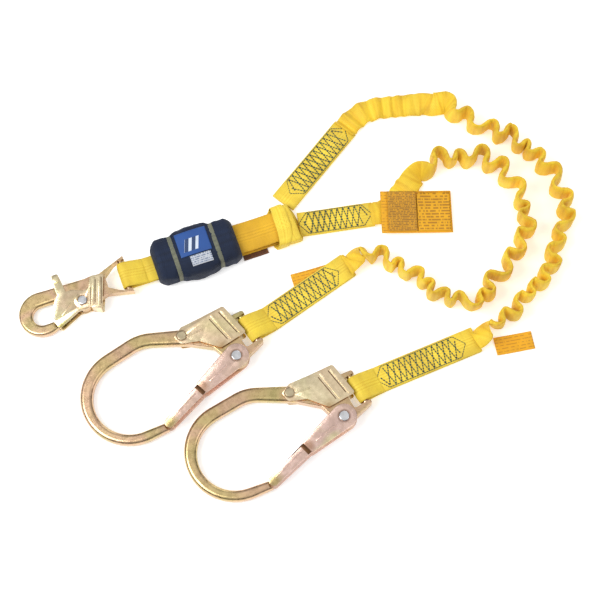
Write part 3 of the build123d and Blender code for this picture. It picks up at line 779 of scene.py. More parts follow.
def loop_profile(bar_height, bar_radius, ply, neck, rest_low, length):
    """Side view of a sewn loop: along the top ply, round the bar and back along the lower ply."""
    radius = bar_radius + 0.0006 + ply / 2
    top = rest_low + 1.5 * ply
    low = rest_low + 0.5 * ply
    points = []
    step = 0.0012
    slope_top = math.atan2(bar_height + radius - top, neck) * 0.9
    distance = length
    while distance > neck:
        points.append((distance, top))
        distance -= step
    samples = 18
    lift = radius * math.sin(slope_top)
    start = Vector((neck, top))
    leave = Vector((lift, bar_height + radius * math.cos(slope_top)))
    for count in range(samples):
        share = count / samples
        height = start.y + (leave.y - start.y) * ease(share, -0.25, 1.12) / ease(1.0, -0.25, 1.12)
        points.append((start.x + (leave.x - start.x) * share, height))
    slope_low = math.atan2(bar_height - radius - low, neck) * 0.9
    first = math.pi / 2 - slope_top
    final = -math.pi / 2 - slope_low
    turns = 26
    for count in range(turns + 1):
        angle = first + (2 * math.pi - (first - final)) * count / turns
        points.append((radius * math.cos(angle), bar_height + radius * math.sin(angle)))
    leave = Vector(points[-1])
    for count in range(1, samples + 1):
        share = count / samples
        height = leave.y + (low - leave.y) * ease(share, -0.12, 1.25) / ease(1.0, -0.12, 1.25)
        points.append((leave.x + (neck - leave.x) * share, height))
    distance = neck + step
    while distance < length:
        points.append((distance, low))
        distance += step
    return points


def rows_from_profile(plan, profile, half_width, half_thick):
    rows = []
    count = len(profile)
    for index, (distance, height) in enumerate(profile):
        before = profile[max(index - 1, 0)]
        after = profile[min(index + 1, count - 1)]
        way = plan.way(distance)
        tangent = (way * (after[0] - before[0]) + UP * (after[1] - before[1])).normalized()
        across = plan.left(distance)
        centre = plan.at(distance) + UP * height
        rows.append((centre, across, tangent.cross(across).normalized(), half_width, half_thick))
    return rows


def zigzag(start, stop, reach, pitch, shift):
    """Corners of a zigzag in strap coordinates, pointed at both ends."""
    corners = []
    spot = start + shift
    side = 1
    while spot <= stop:
        taper = min(1.0, (spot - start + 0.001) / 0.010, (stop - spot + 0.001) / 0.010)
        corners.append((spot, side * reach * max(taper, 0.05)))
        side = -side
        spot += pitch / 2
    return corners


def thread_bead():
    """One short stitch: a little pointed bead along x."""
    form = bmesh.new()
    bmesh.ops.create_uvsphere(form, u_segments=6, v_segments=4, radius=1.0,
                              matrix=Matrix.Rotation(math.pi / 2, 4, "Y"))
    return mesh_from(form, "thread_bead")


def stitch_line(form, corners, surface, length, thick):
    """Lays short raised stitches along a line of corners."""
    bead = thread_bead()
    for (x0, y0), (x1, y1) in zip(corners, corners[1:]):
        run = math.hypot(x1 - x0, y1 - y0)
        count = max(1, round(run / length))
        for index in range(count):
            share = (index + 0.5) / count
            here = surface(x0 + (x1 - x0) * share, y0 + (y1 - y0) * share)
            ahead = surface(x0 + (x1 - x0) * (share + 0.02), y0 + (y1 - y0) * (share + 0.02))
            way = (ahead - here).normalized()
            side = UP.cross(way).normalized()
            half = run / count * 0.47
            turn = Matrix((way, side, way.cross(side))).transposed().to_4x4()
            place = Matrix.Translation(here) @ turn @ Matrix.Diagonal((half, thick, thick * 0.8, 1))
            stitch = bead.copy()
            stitch.transform(place)
            form.from_mesh(stitch)
            bpy.data.meshes.remove(stitch)
    bpy.data.meshes.remove(bead)


def stitch_block(name, plan, start, stop, top, half_width):
    """A long stitched block: crossing zigzags inside a border with pointed ends."""

    def surface(distance, side):
        return plan.at(distance) + plan.left(distance) * side + UP * top

    reach = half_width * 0.82
    pitch = STITCH_PITCH
    dark = bmesh.new()
    stitch_line(dark, zigzag(start, stop, reach, pitch, 0.0), surface, STITCH_LENGTH, STITCH_THICK)
    for side in (-1, 1):
        border = [(start - 0.006, 0.0), (start + 0.006, side * reach * 1.04),
                  (stop - 0.006, side * reach * 1.04), (stop + 0.006, 0.0)]
        stitch_line(dark, border, surface, BORDER_STITCH_LENGTH, BORDER_STITCH_THICK)
    put_in_scene(name + "_dark", mesh_from(dark, name), "thread", "webbing", "yellow_webbing")
    green = bmesh.new()
    stitch_line(green, zigzag(start, stop, reach, pitch, pitch / 2), surface, STITCH_LENGTH, STITCH_THICK)
    put_in_scene(name + "_green", mesh_from(green, name), "thread_green", "webbing", "yellow_webbing")


def make_end_strap(mark, sizes):
    """Folded strap between a leg and its rebar hook, with its stitch block."""
    centre, away = crossbar(f"rebar_{mark}_swing")
    node = f"leg_{mark}_end_strap"
    route = LEG_A_ROUTE if mark == "a" else LEG_B_ROUTE
    end = Vector(route[-1])
    plan = StrapPlan(centre, away, HOOK_NECK, end)
    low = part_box(node)[0].z
    profile = loop_profile(centre.z, REBAR_BAR_RADIUS, sizes.ply, HOOK_NECK, low, plan.length + 0.004)
    rows = rows_from_profile(plan, profile, sizes.strap_width / 2, sizes.ply / 2)
    mesh = ribbon(f"{node}_web", rows, wrinkle=0.0003, seed=2.0)
    put_in_scene(f"{node}_web", mesh, "strap", "webbing", "yellow_webbing", node)
    stitch_block(f"{node}_stitches", plan, 0.034, plan.length - 0.018, low + 2 * sizes.ply + 0.0001,
                 sizes.strap_width / 2)


def make_start_strap(mark, sizes, reach, trim):
    """Two-layer strap from the yoke to a leg, with its stitch block."""
    node = f"leg_{mark}_start_strap"
    route = LEG_A_ROUTE if mark == "a" else LEG_B_ROUTE
    first, second = Vector(route[0]), Vector(route[1])
    back = Vector((first.x - second.x, first.y - second.y, 0)).normalized()
    plan = StrapPlan(first, back, 0.05, first + back * reach)
    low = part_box(node)[0].z
    rows = []
    count = int(reach / 0.0015)
    for index in range(count + 1):
        distance = -0.004 + (reach + 0.004) * index / count
        height = low + sizes.ply + 0.0003 * math.sin(distance * 70)
        rows.append((plan.at(distance) + UP * height, plan.left(distance), UP,
                     sizes.strap_width / 2, sizes.ply))
    mesh = ribbon(f"{node}_web", rows, wrinkle=0.0003, seed=5.0, two_ply=True)
    put_in_scene(f"{node}_web", mesh, "strap", "webbing", "yellow_webbing", node)
    stitch_block(f"{node}_stitches", plan, 0.004, reach - trim, low + 2 * sizes.ply + 0.0002,
                 sizes.strap_width / 2)


class LANYARD_OT_straps(bpy.types.Operator):
    """Flat straps with their sewn loops and stitch blocks"""

    bl_idname = "lanyard.straps"
    bl_label = "Stitched straps"

    def execute(self, context):
        sizes = context.scene.lanyard_webbing
        for mark in ("a", "b"):
            make_end_strap(mark, sizes)
        make_start_strap("a", sizes, 0.135, 0.022)
        make_start_strap("b", sizes, 0.096, 0.006)
        return {"FINISHED"}


# ------------------------------------------------------------------ pack line


def pack_frame():
    """Middle of the pack on the ground, the way of its line, and its left side."""
    low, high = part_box("pack_cover")
    joint = joint_named("snap_swing")
    axis = Vector((joint["axis"][0], joint["axis"][1], 0)).normalized()
    way = UP.cross(axis)
    middle = Vector(((low.x + high.x) / 2, (low.y + high.y) / 2, 0))
    return middle, way, UP.cross(way)


PACK_HALF_LENGTH = 0.0565
PACK_HALF_WIDTH = 0.034
PACK_HALF_END = 0.026
PACK_MIDDLE_HEIGHT = 0.0175
PACK_HALF_HEIGHT = 0.0165
BAND_PLACE = 0.028
STRAP_HEIGHT = 0.010


def pack_sizes(x):
    """Half width and half height of the stuffed cover at x along the line."""
    share = x / PACK_HALF_LENGTH
    half_width = PACK_HALF_END + (PACK_HALF_WIDTH - PACK_HALF_END) * (1 - share * share)
    half_height = PACK_HALF_HEIGHT * (1 - 0.10 * share * share)
    groove = 0.0
    for place in (-BAND_PLACE, BAND_PLACE):
        groove += math.exp(-((x - place) / 0.0045) ** 2)
    swell = 0.0010 * math.cos(math.pi * x / BAND_PLACE)
    return half_width - 0.0026 * groove + swell, half_height - 0.0014 * groove + swell * 0.4


def pack_point(middle, way, left, x, turn, lift=0.0):
    """A point on the stuffed cover's skin."""
    half_width, half_height = pack_sizes(x)
    c, s = rounded(turn, 0.34, 0.50)
    side = c * (half_width + lift)
    height = PACK_MIDDLE_HEIGHT + s * (half_height + lift)
    return middle + way * x + left * side + UP * height


class LANYARD_OT_pack(bpy.types.Operator):
    """Energy absorber pack: stuffed cover, bands and panels"""

    bl_idname = "lanyard.pack"
    bl_label = "Absorber pack"

    def execute(self, context):
        middle, way, left = pack_frame()
        self.make_cover(middle, way, left)
        self.make_bands(middle, way, left)
        self.make_panel("pack_blue_panel", (-0.021, 0.021), (-0.0085, 0.0245), "mark", "label_blue",
                        "pack_label", middle, way, left)
        self.make_panel("pack_pale_panel", (-0.010, 0.018), (-0.024, -0.010), "info", "label_white",
                        "pack_info_panel", middle, way, left)
        return {"FINISHED"}

    def make_cover(self, middle, way, left):
        stations = []
        mouths = ((-1, 0.0192, 0.0052), (1, 0.0228, 0.0078))
        (_, left_w, left_h), (_, right_w, right_h) = mouths
        edge = PACK_HALF_LENGTH
        for share in (0.0, 0.25, 0.5, 0.75):
            stations.append((-edge + 0.006 - 0.006 * share, left_w, left_h, STRAP_HEIGHT, 0.0))
        for index in range(9):
            share = math.sin(math.pi / 2 * index / 8)
            stations.append((-edge + 0.010 * (1 - math.cos(math.pi / 2 * index / 8)), left_w, left_h,
                             STRAP_HEIGHT, share))
        inner = 72
        for index in range(1, inner):
            stations.append((-edge + 0.010 + (2 * edge - 0.020) * index / inner, 0, 0, 0, 1.0))
        for index in range(8, -1, -1):
            share = math.sin(math.pi / 2 * index / 8)
            stations.append((edge - 0.010 * (1 - math.cos(math.pi / 2 * index / 8)), right_w, right_h,
                             STRAP_HEIGHT, share))
        for share in (0.75, 0.5, 0.25, 0.0):
            stations.append((edge - 0.006 + 0.006 * share, right_w, right_h, STRAP_HEIGHT, 0.0))
        rows = [(middle + way * x, left, UP, 0.034, 0.0165) for x, *_ in stations]

        def place(row, turn):
            x, mouth_w, mouth_h, mouth_z, share = stations[row]
            full = pack_point(middle, way, left, x, turn)
            c, s = rounded(turn, 0.35, 0.55)
            mouth = middle + way * x + left * (c * mouth_w) + UP * (mouth_z + s * mouth_h)
            point = mouth.lerp(full, share)
            outward = (left * c + UP * s).normalized()
            crease = noise.noise(Vector((x * 95, turn * 1.4, 2.2)))
            fine = noise.noise(Vector((x * 260, turn * 5.0, 7.7)))
            near_band = max(math.exp(-((x - place_x) / 0.012) ** 2) for place_x in (-BAND_PLACE, BAND_PLACE))
            pucker = math.sin(turn * 30 + 2.4 * crease) * near_band * 0.0007
            hem = 0.0005 * math.exp(-((abs(x) - (PACK_HALF_LENGTH - 0.010)) / 0.0016) ** 2)
            point += outward * share * (0.0013 * crease + 0.00035 * fine + pucker + hem)
            point.z = max(point.z, 0.0006)
            return point

        form = bmesh.new()
        sweep_section(form, rows, 96, place)
        cover = put_in_scene("pack_stuffed_cover", mesh_from(form, "pack_stuffed_cover"), "navy",
                             "webbing", "pack_fabric", "pack_cover")

    def make_bands(self, middle, way, left):
        for name, x in (("pack_band_near_hook", -BAND_PLACE), ("pack_band_near_yoke", BAND_PLACE)):
            samples = 120
            rows = []
            for index in range(samples + 1):
                turn = 2 * math.pi * index / samples
                centre = pack_point(middle, way, left, x, turn, 0.0006)
                ahead = pack_point(middle, way, left, x, turn + 0.02, 0.0006)
                tangent = (ahead - centre).normalized()
                centre.z = max(centre.z, 0.0009)
                rows.append((centre, way, tangent.cross(way).normalized(), 0.0030, 0.0006))
            mesh = ribbon(name, rows, around=12, closed_path=True)
            replaced = ("pack_bands",) if x < 0 else ()
            put_in_scene(name, mesh, "band", "webbing", "band_elastic", *replaced)

    def make_panel(self, name, along, across, finish, slot, node, middle, way, left):
        form = bmesh.new()
        cloth = form.loops.layers.uv.new("cloth")
        bmesh.ops.create_grid(form, x_segments=30, y_segments=24, size=0.5, calc_uvs=True)
        for face in form.faces:
            for loop in face.loops:
                loop[cloth].uv.x *= along[1] - along[0]
                loop[cloth].uv.y *= across[1] - across[0]
        for vert in form.verts:
            x = along[0] + (vert.co.x + 0.5) * (along[1] - along[0])
            y = across[0] + (vert.co.y + 0.5) * (across[1] - across[0])
            half_width, _ = pack_sizes(x)
            cosine = min(abs(y) / half_width, 1.0) ** (1 / 0.34)
            turn = math.acos(math.copysign(cosine, y))
            vert.co = pack_point(middle, way, left, x, turn, 0.0007)
        bmesh.ops.solidify(form, geom=form.faces[:], thickness=0.0005)
        mesh = mesh_from(form, name)
        put_in_scene(name, mesh, finish, "webbing", slot, node)


def stadium(low, high, height, half_height):
    """Side view of a flattened loop, as a closed list of (distance, height)."""
    points = []
    straight = high - low - 2 * half_height
    count = max(2, int(straight / STADIUM_STEP))
    for index in range(count):
        points.append((low + half_height + straight * index / count, height + half_height))
    for index in range(14):
        angle = math.pi / 2 - math.pi * index / 14
        points.append((high - half_height + half_height * math.cos(angle),
                       height + half_height * math.sin(angle)))
    for index in range(count):
        points.append((high - half_height - straight * index / count, height - half_height))
    for index in range(14):
        angle = -math.pi / 2 - math.pi * index / 14
        points.append((low + half_height + half_height * math.cos(angle),
                       height + half_height * math.sin(angle)))
    points.append(points[0])
    return points


class LANYARD_OT_pack_straps(bpy.types.Operator):
    """Strap to the snap hook, wide loop, yoke and tear webbing"""

    bl_idname = "lanyard.pack_straps"
    bl_label = "Pack straps and yoke"

    def execute(self, context):
        sizes = context.scene.lanyard_webbing
        middle, way, left = pack_frame()
        self.make_hook_strap(sizes, middle)
        self.make_wide_loop(sizes, middle, way, left)
        self.make_yoke(sizes, middle, way, left)
        self.make_tear_web(middle, way, left)
        return {"FINISHED"}

    def make_hook_strap(self, sizes, middle):
        centre, away = crossbar("snap_swing")
        plan = StrapPlan(centre, away, SNAP_NECK, middle)
        profile = loop_profile(centre.z, SNAP_BAR_RADIUS, sizes.ply, SNAP_NECK, STRAP_HEIGHT - sizes.ply,
                               0.052)
        rows = rows_from_profile(plan, profile, sizes.strap_width / 2, sizes.ply / 2)
        mesh = ribbon("hook_strap_web", rows, wrinkle=0.0003, seed=8.0)
        put_in_scene("hook_strap_web", mesh, "strap", "webbing", "yellow_webbing", "hook_strap")

    def make_wide_loop(self, sizes, middle, way, left):
        rows = []
        profile = stadium(0.040, 0.134, STRAP_HEIGHT, 0.0045)
        for index, (x, height) in enumerate(profile):
            ahead = profile[(index + 1) % (len(profile) - 1)]
            behind = profile[index - 1 if index else -2]
            tangent = (way * (ahead[0] - behind[0]) + UP * (ahead[1] - behind[1])).normalized()
            sag = 0.0006 * math.sin(x * 60)
            centre = middle + way * x + UP * (height + sag)
            rows.append((centre, left, tangent.cross(left).normalized(), 0.021, sizes.ply / 2))
        mesh = ribbon("wide_loop_web", rows, wrinkle=0.0006, seed=11.0, closed_path=True)
        put_in_scene("wide_loop_web", mesh, "wide", "webbing", "yellow_webbing", "pack_loop")

    def make_yoke(self, sizes, middle, way, left):
        """Two overlapping turns of webbing round the wide loop."""
        turns = (("yoke_inner_turn", 0.1270, 0.0125, 0.0), ("yoke_outer_turn", 0.1150, 0.0100, 0.0014))
        for name, x, half, lift in turns:
            samples = 120
            rows = []
            for index in range(samples + 1):
                turn = 2 * math.pi * index / samples
                c, s = rounded(turn, 0.62, 0.50)
                ahead_c, ahead_s = rounded(turn + 0.03, 0.62, 0.50)
                wide, tall = 0.0262 + lift, 0.0082 + lift
                skew = 0.0055 * math.sin(turn + 0.5) * (1 if lift else -0.6)
                centre = middle + way * (x + skew) + left * (c * wide) + UP * (STRAP_HEIGHT + s * tall)
                tangent = (left * ((ahead_c - c) * wide) + UP * ((ahead_s - s) * tall)).normalized()
                centre.z = max(centre.z, 0.0016)
                gathered = half * (1 - 0.22 * abs(c) ** 3)
                rows.append((centre, way, tangent.cross(way).normalized(), gathered, sizes.ply / 2))
            mesh = ribbon(name, rows, closed_path=True, wrinkle=0.0011, seed=x * 100)
            replaced = ("leg_yoke",) if lift == 0.0 else ()
            put_in_scene(name, mesh, "strap", "webbing", "yellow_webbing", *replaced)

    def make_tear_web(self, middle, way, left):
        """The folded tear-out webbing inside the cover."""
        low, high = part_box("tear_webbing")
        layers = 9
        pitch = (high.z - low.z - 0.002) / layers
        profile = []
        for layer in range(layers):
            height = low.z + 0.001 + pitch * (layer + 0.5)
            ends = (-0.033, 0.033) if layer % 2 == 0 else (0.033, -0.033)
            for index in range(25):
                profile.append((ends[0] + (ends[1] - ends[0]) * index / 24, height))
            for index in range(1, 6):
                angle = -math.pi / 2 + math.pi * index / 6
                if layer < layers - 1:
                    profile.append((ends[1] + math.copysign(pitch / 2 * math.cos(angle), ends[1]),
                                    height + pitch / 2 + pitch / 2 * math.sin(angle)))
        rows = []
        for index, (x, height) in enumerate(profile):
            before = profile[max(index - 1, 0)]
            after = profile[min(index + 1, len(profile) - 1)]
            tangent = (way * (after[0] - before[0]) + UP * (after[1] - before[1])).normalized()
            centre = middle + way * x + UP * height
            rows.append((centre, left, tangent.cross(left).normalized(), 0.019, 0.0010))
        mesh = ribbon("folded_tear_web", rows, around=12)
        put_in_scene("folded_tear_web", mesh, "wide", "webbing", "yellow_webbing", "tear_webbing")


# ------------------------------------------------------------------ labels


def make_sheet(name, origin, way, size, finish, slot, node, thickness, curl, seed, dip=0.0):
    """A thin label or tab, a little curled and creased."""
    left = UP.cross(way)
    form = bmesh.new()
    cloth = form.loops.layers.uv.new("cloth")
    bmesh.ops.create_grid(form, x_segments=36, y_segments=24, size=0.5, calc_uvs=True)
    for face in form.faces:
        for loop in face.loops:
            loop[cloth].uv.x *= size[0]
            loop[cloth].uv.y *= size[1]
    for vert in form.verts:
        x, y = vert.co.x, vert.co.y
        wave = curl * (x * x * 1.6 + 0.5 * noise.noise(Vector((x * 2.2 + seed, y * 1.6, seed))) + 0.3 * y * y)
        vert.co = (origin + way * (x * size[0]) + left * (y * size[1])
                   + UP * (wave - dip * (x + 0.5) * size[0]))
    bmesh.ops.solidify(form, geom=form.faces[:], thickness=-thickness)
    return put_in_scene(name, mesh_from(form, name), finish, "webbing", slot, node)


def centre_of(node):
    low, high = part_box(node)
    return (low + high) / 2


class LANYARD_OT_labels(bpy.types.Operator):
    """Label pocket with its leaves, flags and tab"""

    bl_idname = "lanyard.labels"
    bl_label = "Labels"

    def execute(self, context):
        way = Vector((math.cos(math.radians(1.5)), math.sin(math.radians(1.5)), 0))
        pocket = centre_of("label_pocket")
        pocket.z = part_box("label_pocket")[1].z + 0.0002
        sheet = make_sheet("label_backing", pocket, way, (0.094, 0.060), "flag", "label_orange",
                           "label_pocket", 0.0007, 0.0012, 1.0, LABEL_DIP)
        for name, node, size, finish in (
            ("label_dense_leaf", "label_leaf_left", (0.038, 0.057), "brown_print"),
            ("label_open_leaf", "label_leaf_right", (0.043, 0.055), "orange_print"),
        ):
            middle = centre_of(node)
            middle.z = pocket.z + 0.0012 - LABEL_DIP * (middle.x - pocket.x)
            make_sheet(name, middle, way, size, finish, "label_orange", node, 0.0006, 0.0012, 3.0,
                       LABEL_DIP)
        for name, node, degrees, size, finish in (
            ("leg_a_flag_tab", "leg_a_flag", 11, (0.050, 0.024), "flag"),
            ("leg_b_flag_tab", "leg_b_flag", 17, (0.050, 0.026), "flag"),
            ("wide_loop_dark_tab", "pack_loop_tab", 19.5, (0.034, 0.014), "tab"),
        ):
            turned = Vector((math.cos(math.radians(degrees)), math.sin(math.radians(degrees)), 0))
            middle = centre_of(node)
            middle.z = 0.0013
            make_sheet(name, middle, turned, size, finish, "label_orange", node, 0.0008, 0.0016, degrees)
        return {"FINISHED"}


# ------------------------------------------------------------------ hooks


class HookFrame:
    """A hook's own axes: u from the crossbar to the bend, v to the gate, w up out of its flat side."""

    def __init__(self, key):
        swing = joint_named(f"{key}_swing")
        hinge = joint_named(f"{key}_gate_hinge")
        self.origin = Vector(swing["pos_m"])
        self.v = Vector(swing["axis"]).normalized()
        self.w = -Vector(hinge["axis"]).normalized()
        if self.w.z < 0:
            self.w.negate()
        self.u = self.v.cross(self.w)

    def at(self, u, v, w=0.0):
        """A point given in millimetres of the hook's own axes."""
        return self.origin + (self.u * u + self.v * v + self.w * w) * 0.001

    def turn(self, heading=0.0):
        """Rotation to the hook's axes, turned about w."""
        axes = Matrix((self.u, self.v, self.w)).transposed().to_4x4()
        return axes @ Matrix.Rotation(heading, 4, "Z")


CHAMPAGNE = [(0.25, (0.88, 0.76, 0.42)), (0.45, (0.86, 0.66, 0.44)), (0.60, (0.90, 0.77, 0.50)),
             (0.75, (0.80, 0.74, 0.38))]
PINKISH = [(0.25, (0.84, 0.70, 0.42)), (0.42, (0.86, 0.62, 0.50)), (0.60, (0.84, 0.60, 0.52)),
           (0.75, (0.82, 0.74, 0.42))]


def edge_worn_copy(node_name, material, body, width):
    """A CAD part's own shape with its sharp edges rounded over."""
    node = frame["nodes"][node_name]
    form = bmesh.new()
    form.from_mesh(node.data)
    bmesh.ops.remove_doubles(form, verts=form.verts, dist=1e-6)
    bmesh.ops.dissolve_limit(form, angle_limit=math.radians(1.0), verts=form.verts, edges=form.edges)
    name = node_name + "_worn"
    mesh = bpy.data.meshes.new(name)
    form.to_mesh(mesh)
    form.free()
    mesh.materials.clear()
    mesh.materials.append(material)
    for face in mesh.polygons:
        face.use_smooth = True
    piece = bpy.data.objects.new(name, mesh)
    bpy.context.scene.collection.objects.link(piece)
    bevel = piece.modifiers.new("rounded edges", "BEVEL")
    bevel.width = width
    bevel.segments = 2
    bevel.limit_method = "ANGLE"
    bevel.angle_limit = math.radians(35)
    bevel.harden_normals = True
    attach(piece, body)
    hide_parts(node_name)
    return piece


def raised_bar(name, hook, place, size, heading, material, body):
    """A small raised bar on a hook's plate; place and size in millimetres of the hook's axes."""
    form = bmesh.new()
    shape = (Matrix.Translation(hook.at(*place)) @ hook.turn(heading)
             @ Matrix.Diagonal((size[0] * 0.001, size[1] * 0.001, size[2] * 0.001, 1)))
    bmesh.ops.create_cube(form, size=1.0, matrix=shape)
    bmesh.ops.bevel(form, geom=form.edges[:], offset=min(size) * 0.0003, offset_type="OFFSET",
                    affect="EDGES", segments=2, profile=0.5, material=-1)
    mesh = mesh_from(form, name)
    mesh.materials.append(material)
    piece = bpy.data.objects.new(name, mesh)
    bpy.context.scene.collection.objects.link(piece)
    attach(piece, body)
    return piece


class LANYARD_OT_hooks(bpy.types.Operator):
    """Plated finishes, worn edges, and the dark step and ridges on each rebar gate"""

    bl_idname = "lanyard.hooks"
    bl_label = "Hook finishes"

    def execute(self, context):
        endings = (("_body", "forged"), ("_gate", "stamped"), ("_lock_lever", "stamped"),
                   ("lock_rivet", "dull_rivet"), ("rivet", "rivet"), ("spring", "spring"))
        for name, node in frame["nodes"].items():
            finish = next((finish for ending, finish in endings if name.endswith(ending)), None)
            if finish:
                node.data.materials.clear()
                node.data.materials.append(finish_of(finish))
        for mark in ("a", "b"):
            self.finish_rebar_hook(mark)
        self.finish_snap_hook()
        return {"FINISHED"}

    def finish_rebar_hook(self, mark):
        key = f"rebar_{mark}"
        hook = HookFrame(key)
        gate_steel = plated_steel(
            f"gate plating {mark}", PINKISH, 0.26, 1100.0,
            [(hook.at(34, 22, 9.4), 0.0062, 0.0095, DARK_RING),
             (hook.at(151, 47, 9.4), 0.004, 0.016, (0.62, 0.66, 0.36, 1)),
             (hook.at(92, 32, 9.4), 0.004, 0.010, (0.72, 0.62, 0.52, 1))])
        lever_steel = plated_steel(
            f"lever plating {mark}", CHAMPAGNE, 0.25, 1100.0,
            [(hook.at(77, -39, 11.2), 0.0058, 0.0085, DARK_RING),
             (hook.at(44, 3, 11.2), 0.001, 0.012, (0.70, 0.60, 0.48, 1))])
        edge_worn_copy(f"rebar_hook_{mark}_gate", gate_steel, key + "_gate", 0.0006)
        edge_worn_copy(f"rebar_hook_{mark}_lock_lever", lever_steel, key + "_lock", 0.0006)
        arm = math.atan2(14.5, 61)
        step = finish_of("dark_band")
        for side, label in ((1, "upper"), (-1, "lower")):
            raised_bar(f"rebar_{mark}_step_{label}", hook, (96.5, 33.6, side * 9.5), (5.5, 14.5, 0.7), arm,
                       step, key + "_gate")
            raised_bar(f"rebar_{mark}_arm_ridge_{label}", hook, (125, 39.2, side * 9.5), (44, 2.2, 0.9), arm,
                       gate_steel, key + "_gate")
        wide = math.atan2(10, 56)
        raised_bar(f"rebar_{mark}_gate_ridge", hook, (66, 28.5, 9.5), (30, 2.0, 0.8), wide,
                   gate_steel, key + "_gate")
        raised_bar(f"rebar_{mark}_lever_ridge", hook, (63, -33, 11.3), (26, 1.8, 0.9), math.radians(-10),
                   lever_steel, key + "_lock")
        # painted shade: thin dark strips laid on the lever where shade would fall in its grooves beside the
        # ridges
        for number, (u, v) in enumerate(((21.0, -20.5), (36.0, -19.5))):
            raised_bar(f"rebar_{mark}_lever_groove_{number}", hook, (u - 2.2, v, 11.25), (1.1, 36, 0.3),
                       math.radians(7.5), finish_of("dark_band"), key + "_lock")

    def finish_snap_hook(self):
        hook = HookFrame("snap")
        gate_steel = plated_steel(
            "snap gate plating", CHAMPAGNE, 0.25, 1100.0,
            [(hook.at(61, 16, 7.9), 0.0060, 0.0095, DARK_RING),
             (hook.at(97, 41, 7.9), 0.003, 0.012, (0.66, 0.62, 0.42, 1))])
        lever_steel = plated_steel(
            "snap lever plating", CHAMPAGNE, 0.25, 1100.0,
            [(hook.at(61, 16, 9.8), 0.0060, 0.0085, DARK_RING)])
        edge_worn_copy("snap_hook_gate", gate_steel, "snap_gate", 0.0006)
        edge_worn_copy("snap_hook_lock_lever", lever_steel, "snap_lock", 0.0005)
        slant = math.atan2(38, 11.5) - math.pi / 2
        # painted shade: thin dark strips laid on the lever where shade would fall in its grooves
        for number, (u, v, length) in enumerate(((34.2, 11.5, 36), (41.8, 9.5, 32), (49.0, 14.0, 24))):
            raised_bar(f"snap_lever_groove_{number}", hook, (u, v, 9.85), (1.0, length, 0.3),
                       slant, finish_of("dark_band"), "snap_lock")
        raised_bar("snap_gate_ridge", hook, (84, 20, 7.95), (20, 2.2, 0.9), math.radians(38),
                   gate_steel, "snap_gate")
        raised_bar("snap_thumb_pad", hook, (86.3, -24, 8.0), (8.0, 9.0, 1.4), 0.0,
                   gate_steel, "snap_gate")


# ------------------------------------------------------------------ stage


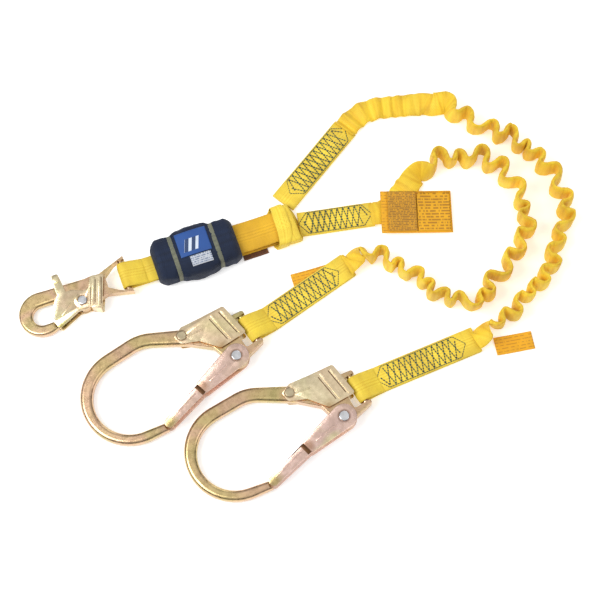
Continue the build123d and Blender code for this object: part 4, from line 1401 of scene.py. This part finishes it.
class LANYARD_OT_stage(bpy.types.Operator):
    """Pale floor, soft studio light and camera"""

    bl_idname = "lanyard.stage"
    bl_label = "Stage"

    def execute(self, context):
        scene = context.scene
        settings = scene.lanyard_stage
        target = Vector((0.0, -0.013, 0.0))
        back = Vector((0, -math.cos(settings.elevation), math.sin(settings.elevation)))
        camera_data = bpy.data.cameras.new("camera")
        camera_data.lens = settings.lens
        camera = bpy.data.objects.new("camera", camera_data)
        camera.location = target + back * settings.distance
        camera.rotation_euler = (math.pi / 2 - settings.elevation, 0, 0)
        scene.collection.objects.link(camera)
        scene.camera = camera
        self.make_floor(scene)
        for name, place, size, power in (
            ("key light", (-1.2, -0.4, 1.6), 1.1, 25.0),
            ("fill light", (1.4, -0.7, 1.4), 1.3, 8.0),
            ("back light", (0.4, 2.0, 0.9), 1.0, 7.0),
        ):
            light_data = bpy.data.lights.new(name, "AREA")
            light_data.size = size
            light_data.energy = power
            light = bpy.data.objects.new(name, light_data)
            light.location = place
            light.rotation_euler = (-Vector(place)).to_track_quat("-Z", "Y").to_euler()
            scene.collection.objects.link(light)
        world = bpy.data.worlds.new("soft room")
        world.use_nodes = True
        tree = world.node_tree
        ground = add_node(tree, "ShaderNodeTexCoord").outputs["Generated"]
        height = add_node(tree, "ShaderNodeSeparateXYZ", {0: ground}).outputs[2]
        sky = ramp(tree, height, [(0.0, (0.16, 0.155, 0.15)), (0.45, (0.26, 0.26, 0.27)),
                                  (0.80, (0.92, 0.92, 0.93)), (0.96, (1.0, 1.0, 1.0))])
        tree.links.new(sky, tree.nodes["Background"].inputs["Color"])
        tree.nodes["Background"].inputs["Strength"].default_value = 0.80
        scene.world = world
        scene.view_settings.view_transform = "Standard"
        return {"FINISHED"}

    def make_floor(self, scene):
        form = bmesh.new()
        bmesh.ops.create_grid(form, x_segments=1, y_segments=1, size=FLOOR_HALF_SIZE)
        floor = bpy.data.objects.new("floor", mesh_from(form, "floor", False))
        material, _, shader = start_material("pale floor", 0.9)
        shader.inputs["Base Color"].default_value = (0.95, 0.95, 0.95, 1)
        shader.inputs["Emission Color"].default_value = (1, 1, 1, 1)
        shader.inputs["Emission Strength"].default_value = 0.35
        floor.data.materials.append(material)
        scene.collection.objects.link(floor)


# ------------------------------------------------------------------ add-on


class LANYARD_PT_panel(bpy.types.Panel):
    """Lanyard pieces"""

    bl_label = "Lanyard"
    bl_idname = "LANYARD_PT_panel"
    bl_space_type = "VIEW_3D"
    bl_region_type = "UI"
    bl_category = "Lanyard"

    def draw(self, context):
        for settings in ("lanyard_webbing", "lanyard_colours", "lanyard_stage"):
            group = getattr(context.scene, settings)
            for key in group.bl_rna.properties.keys():
                if key not in {"rna_type", "name"}:
                    self.layout.prop(group, key)
        for operator in OPERATORS:
            self.layout.operator(operator.bl_idname)


GROUP_CLASSES = (LanyardWebbing, LanyardColours, LanyardStage)
OPERATORS = (
    LANYARD_OT_stage,
    LANYARD_OT_legs,
    LANYARD_OT_straps,
    LANYARD_OT_pack,
    LANYARD_OT_pack_straps,
    LANYARD_OT_labels,
    LANYARD_OT_hooks,
)
CLASSES = (*GROUP_CLASSES, *OPERATORS, LANYARD_PT_panel)


def register():
    for item in CLASSES:
        bpy.utils.register_class(item)
    bpy.types.Scene.lanyard_webbing = PointerProperty(type=LanyardWebbing)
    bpy.types.Scene.lanyard_colours = PointerProperty(type=LanyardColours)
    bpy.types.Scene.lanyard_stage = PointerProperty(type=LanyardStage)


def unregister():
    del bpy.types.Scene.lanyard_stage
    del bpy.types.Scene.lanyard_colours
    del bpy.types.Scene.lanyard_webbing
    for item in reversed(CLASSES):
        bpy.utils.unregister_class(item)


def main():
    register()
    bpy.ops.lanyard.stage()
    bpy.ops.lanyard.legs()
    bpy.ops.lanyard.straps()
    bpy.ops.lanyard.pack()
    bpy.ops.lanyard.pack_straps()
    bpy.ops.lanyard.labels()
    bpy.ops.lanyard.hooks()


if __name__ == "__main__":
    main()
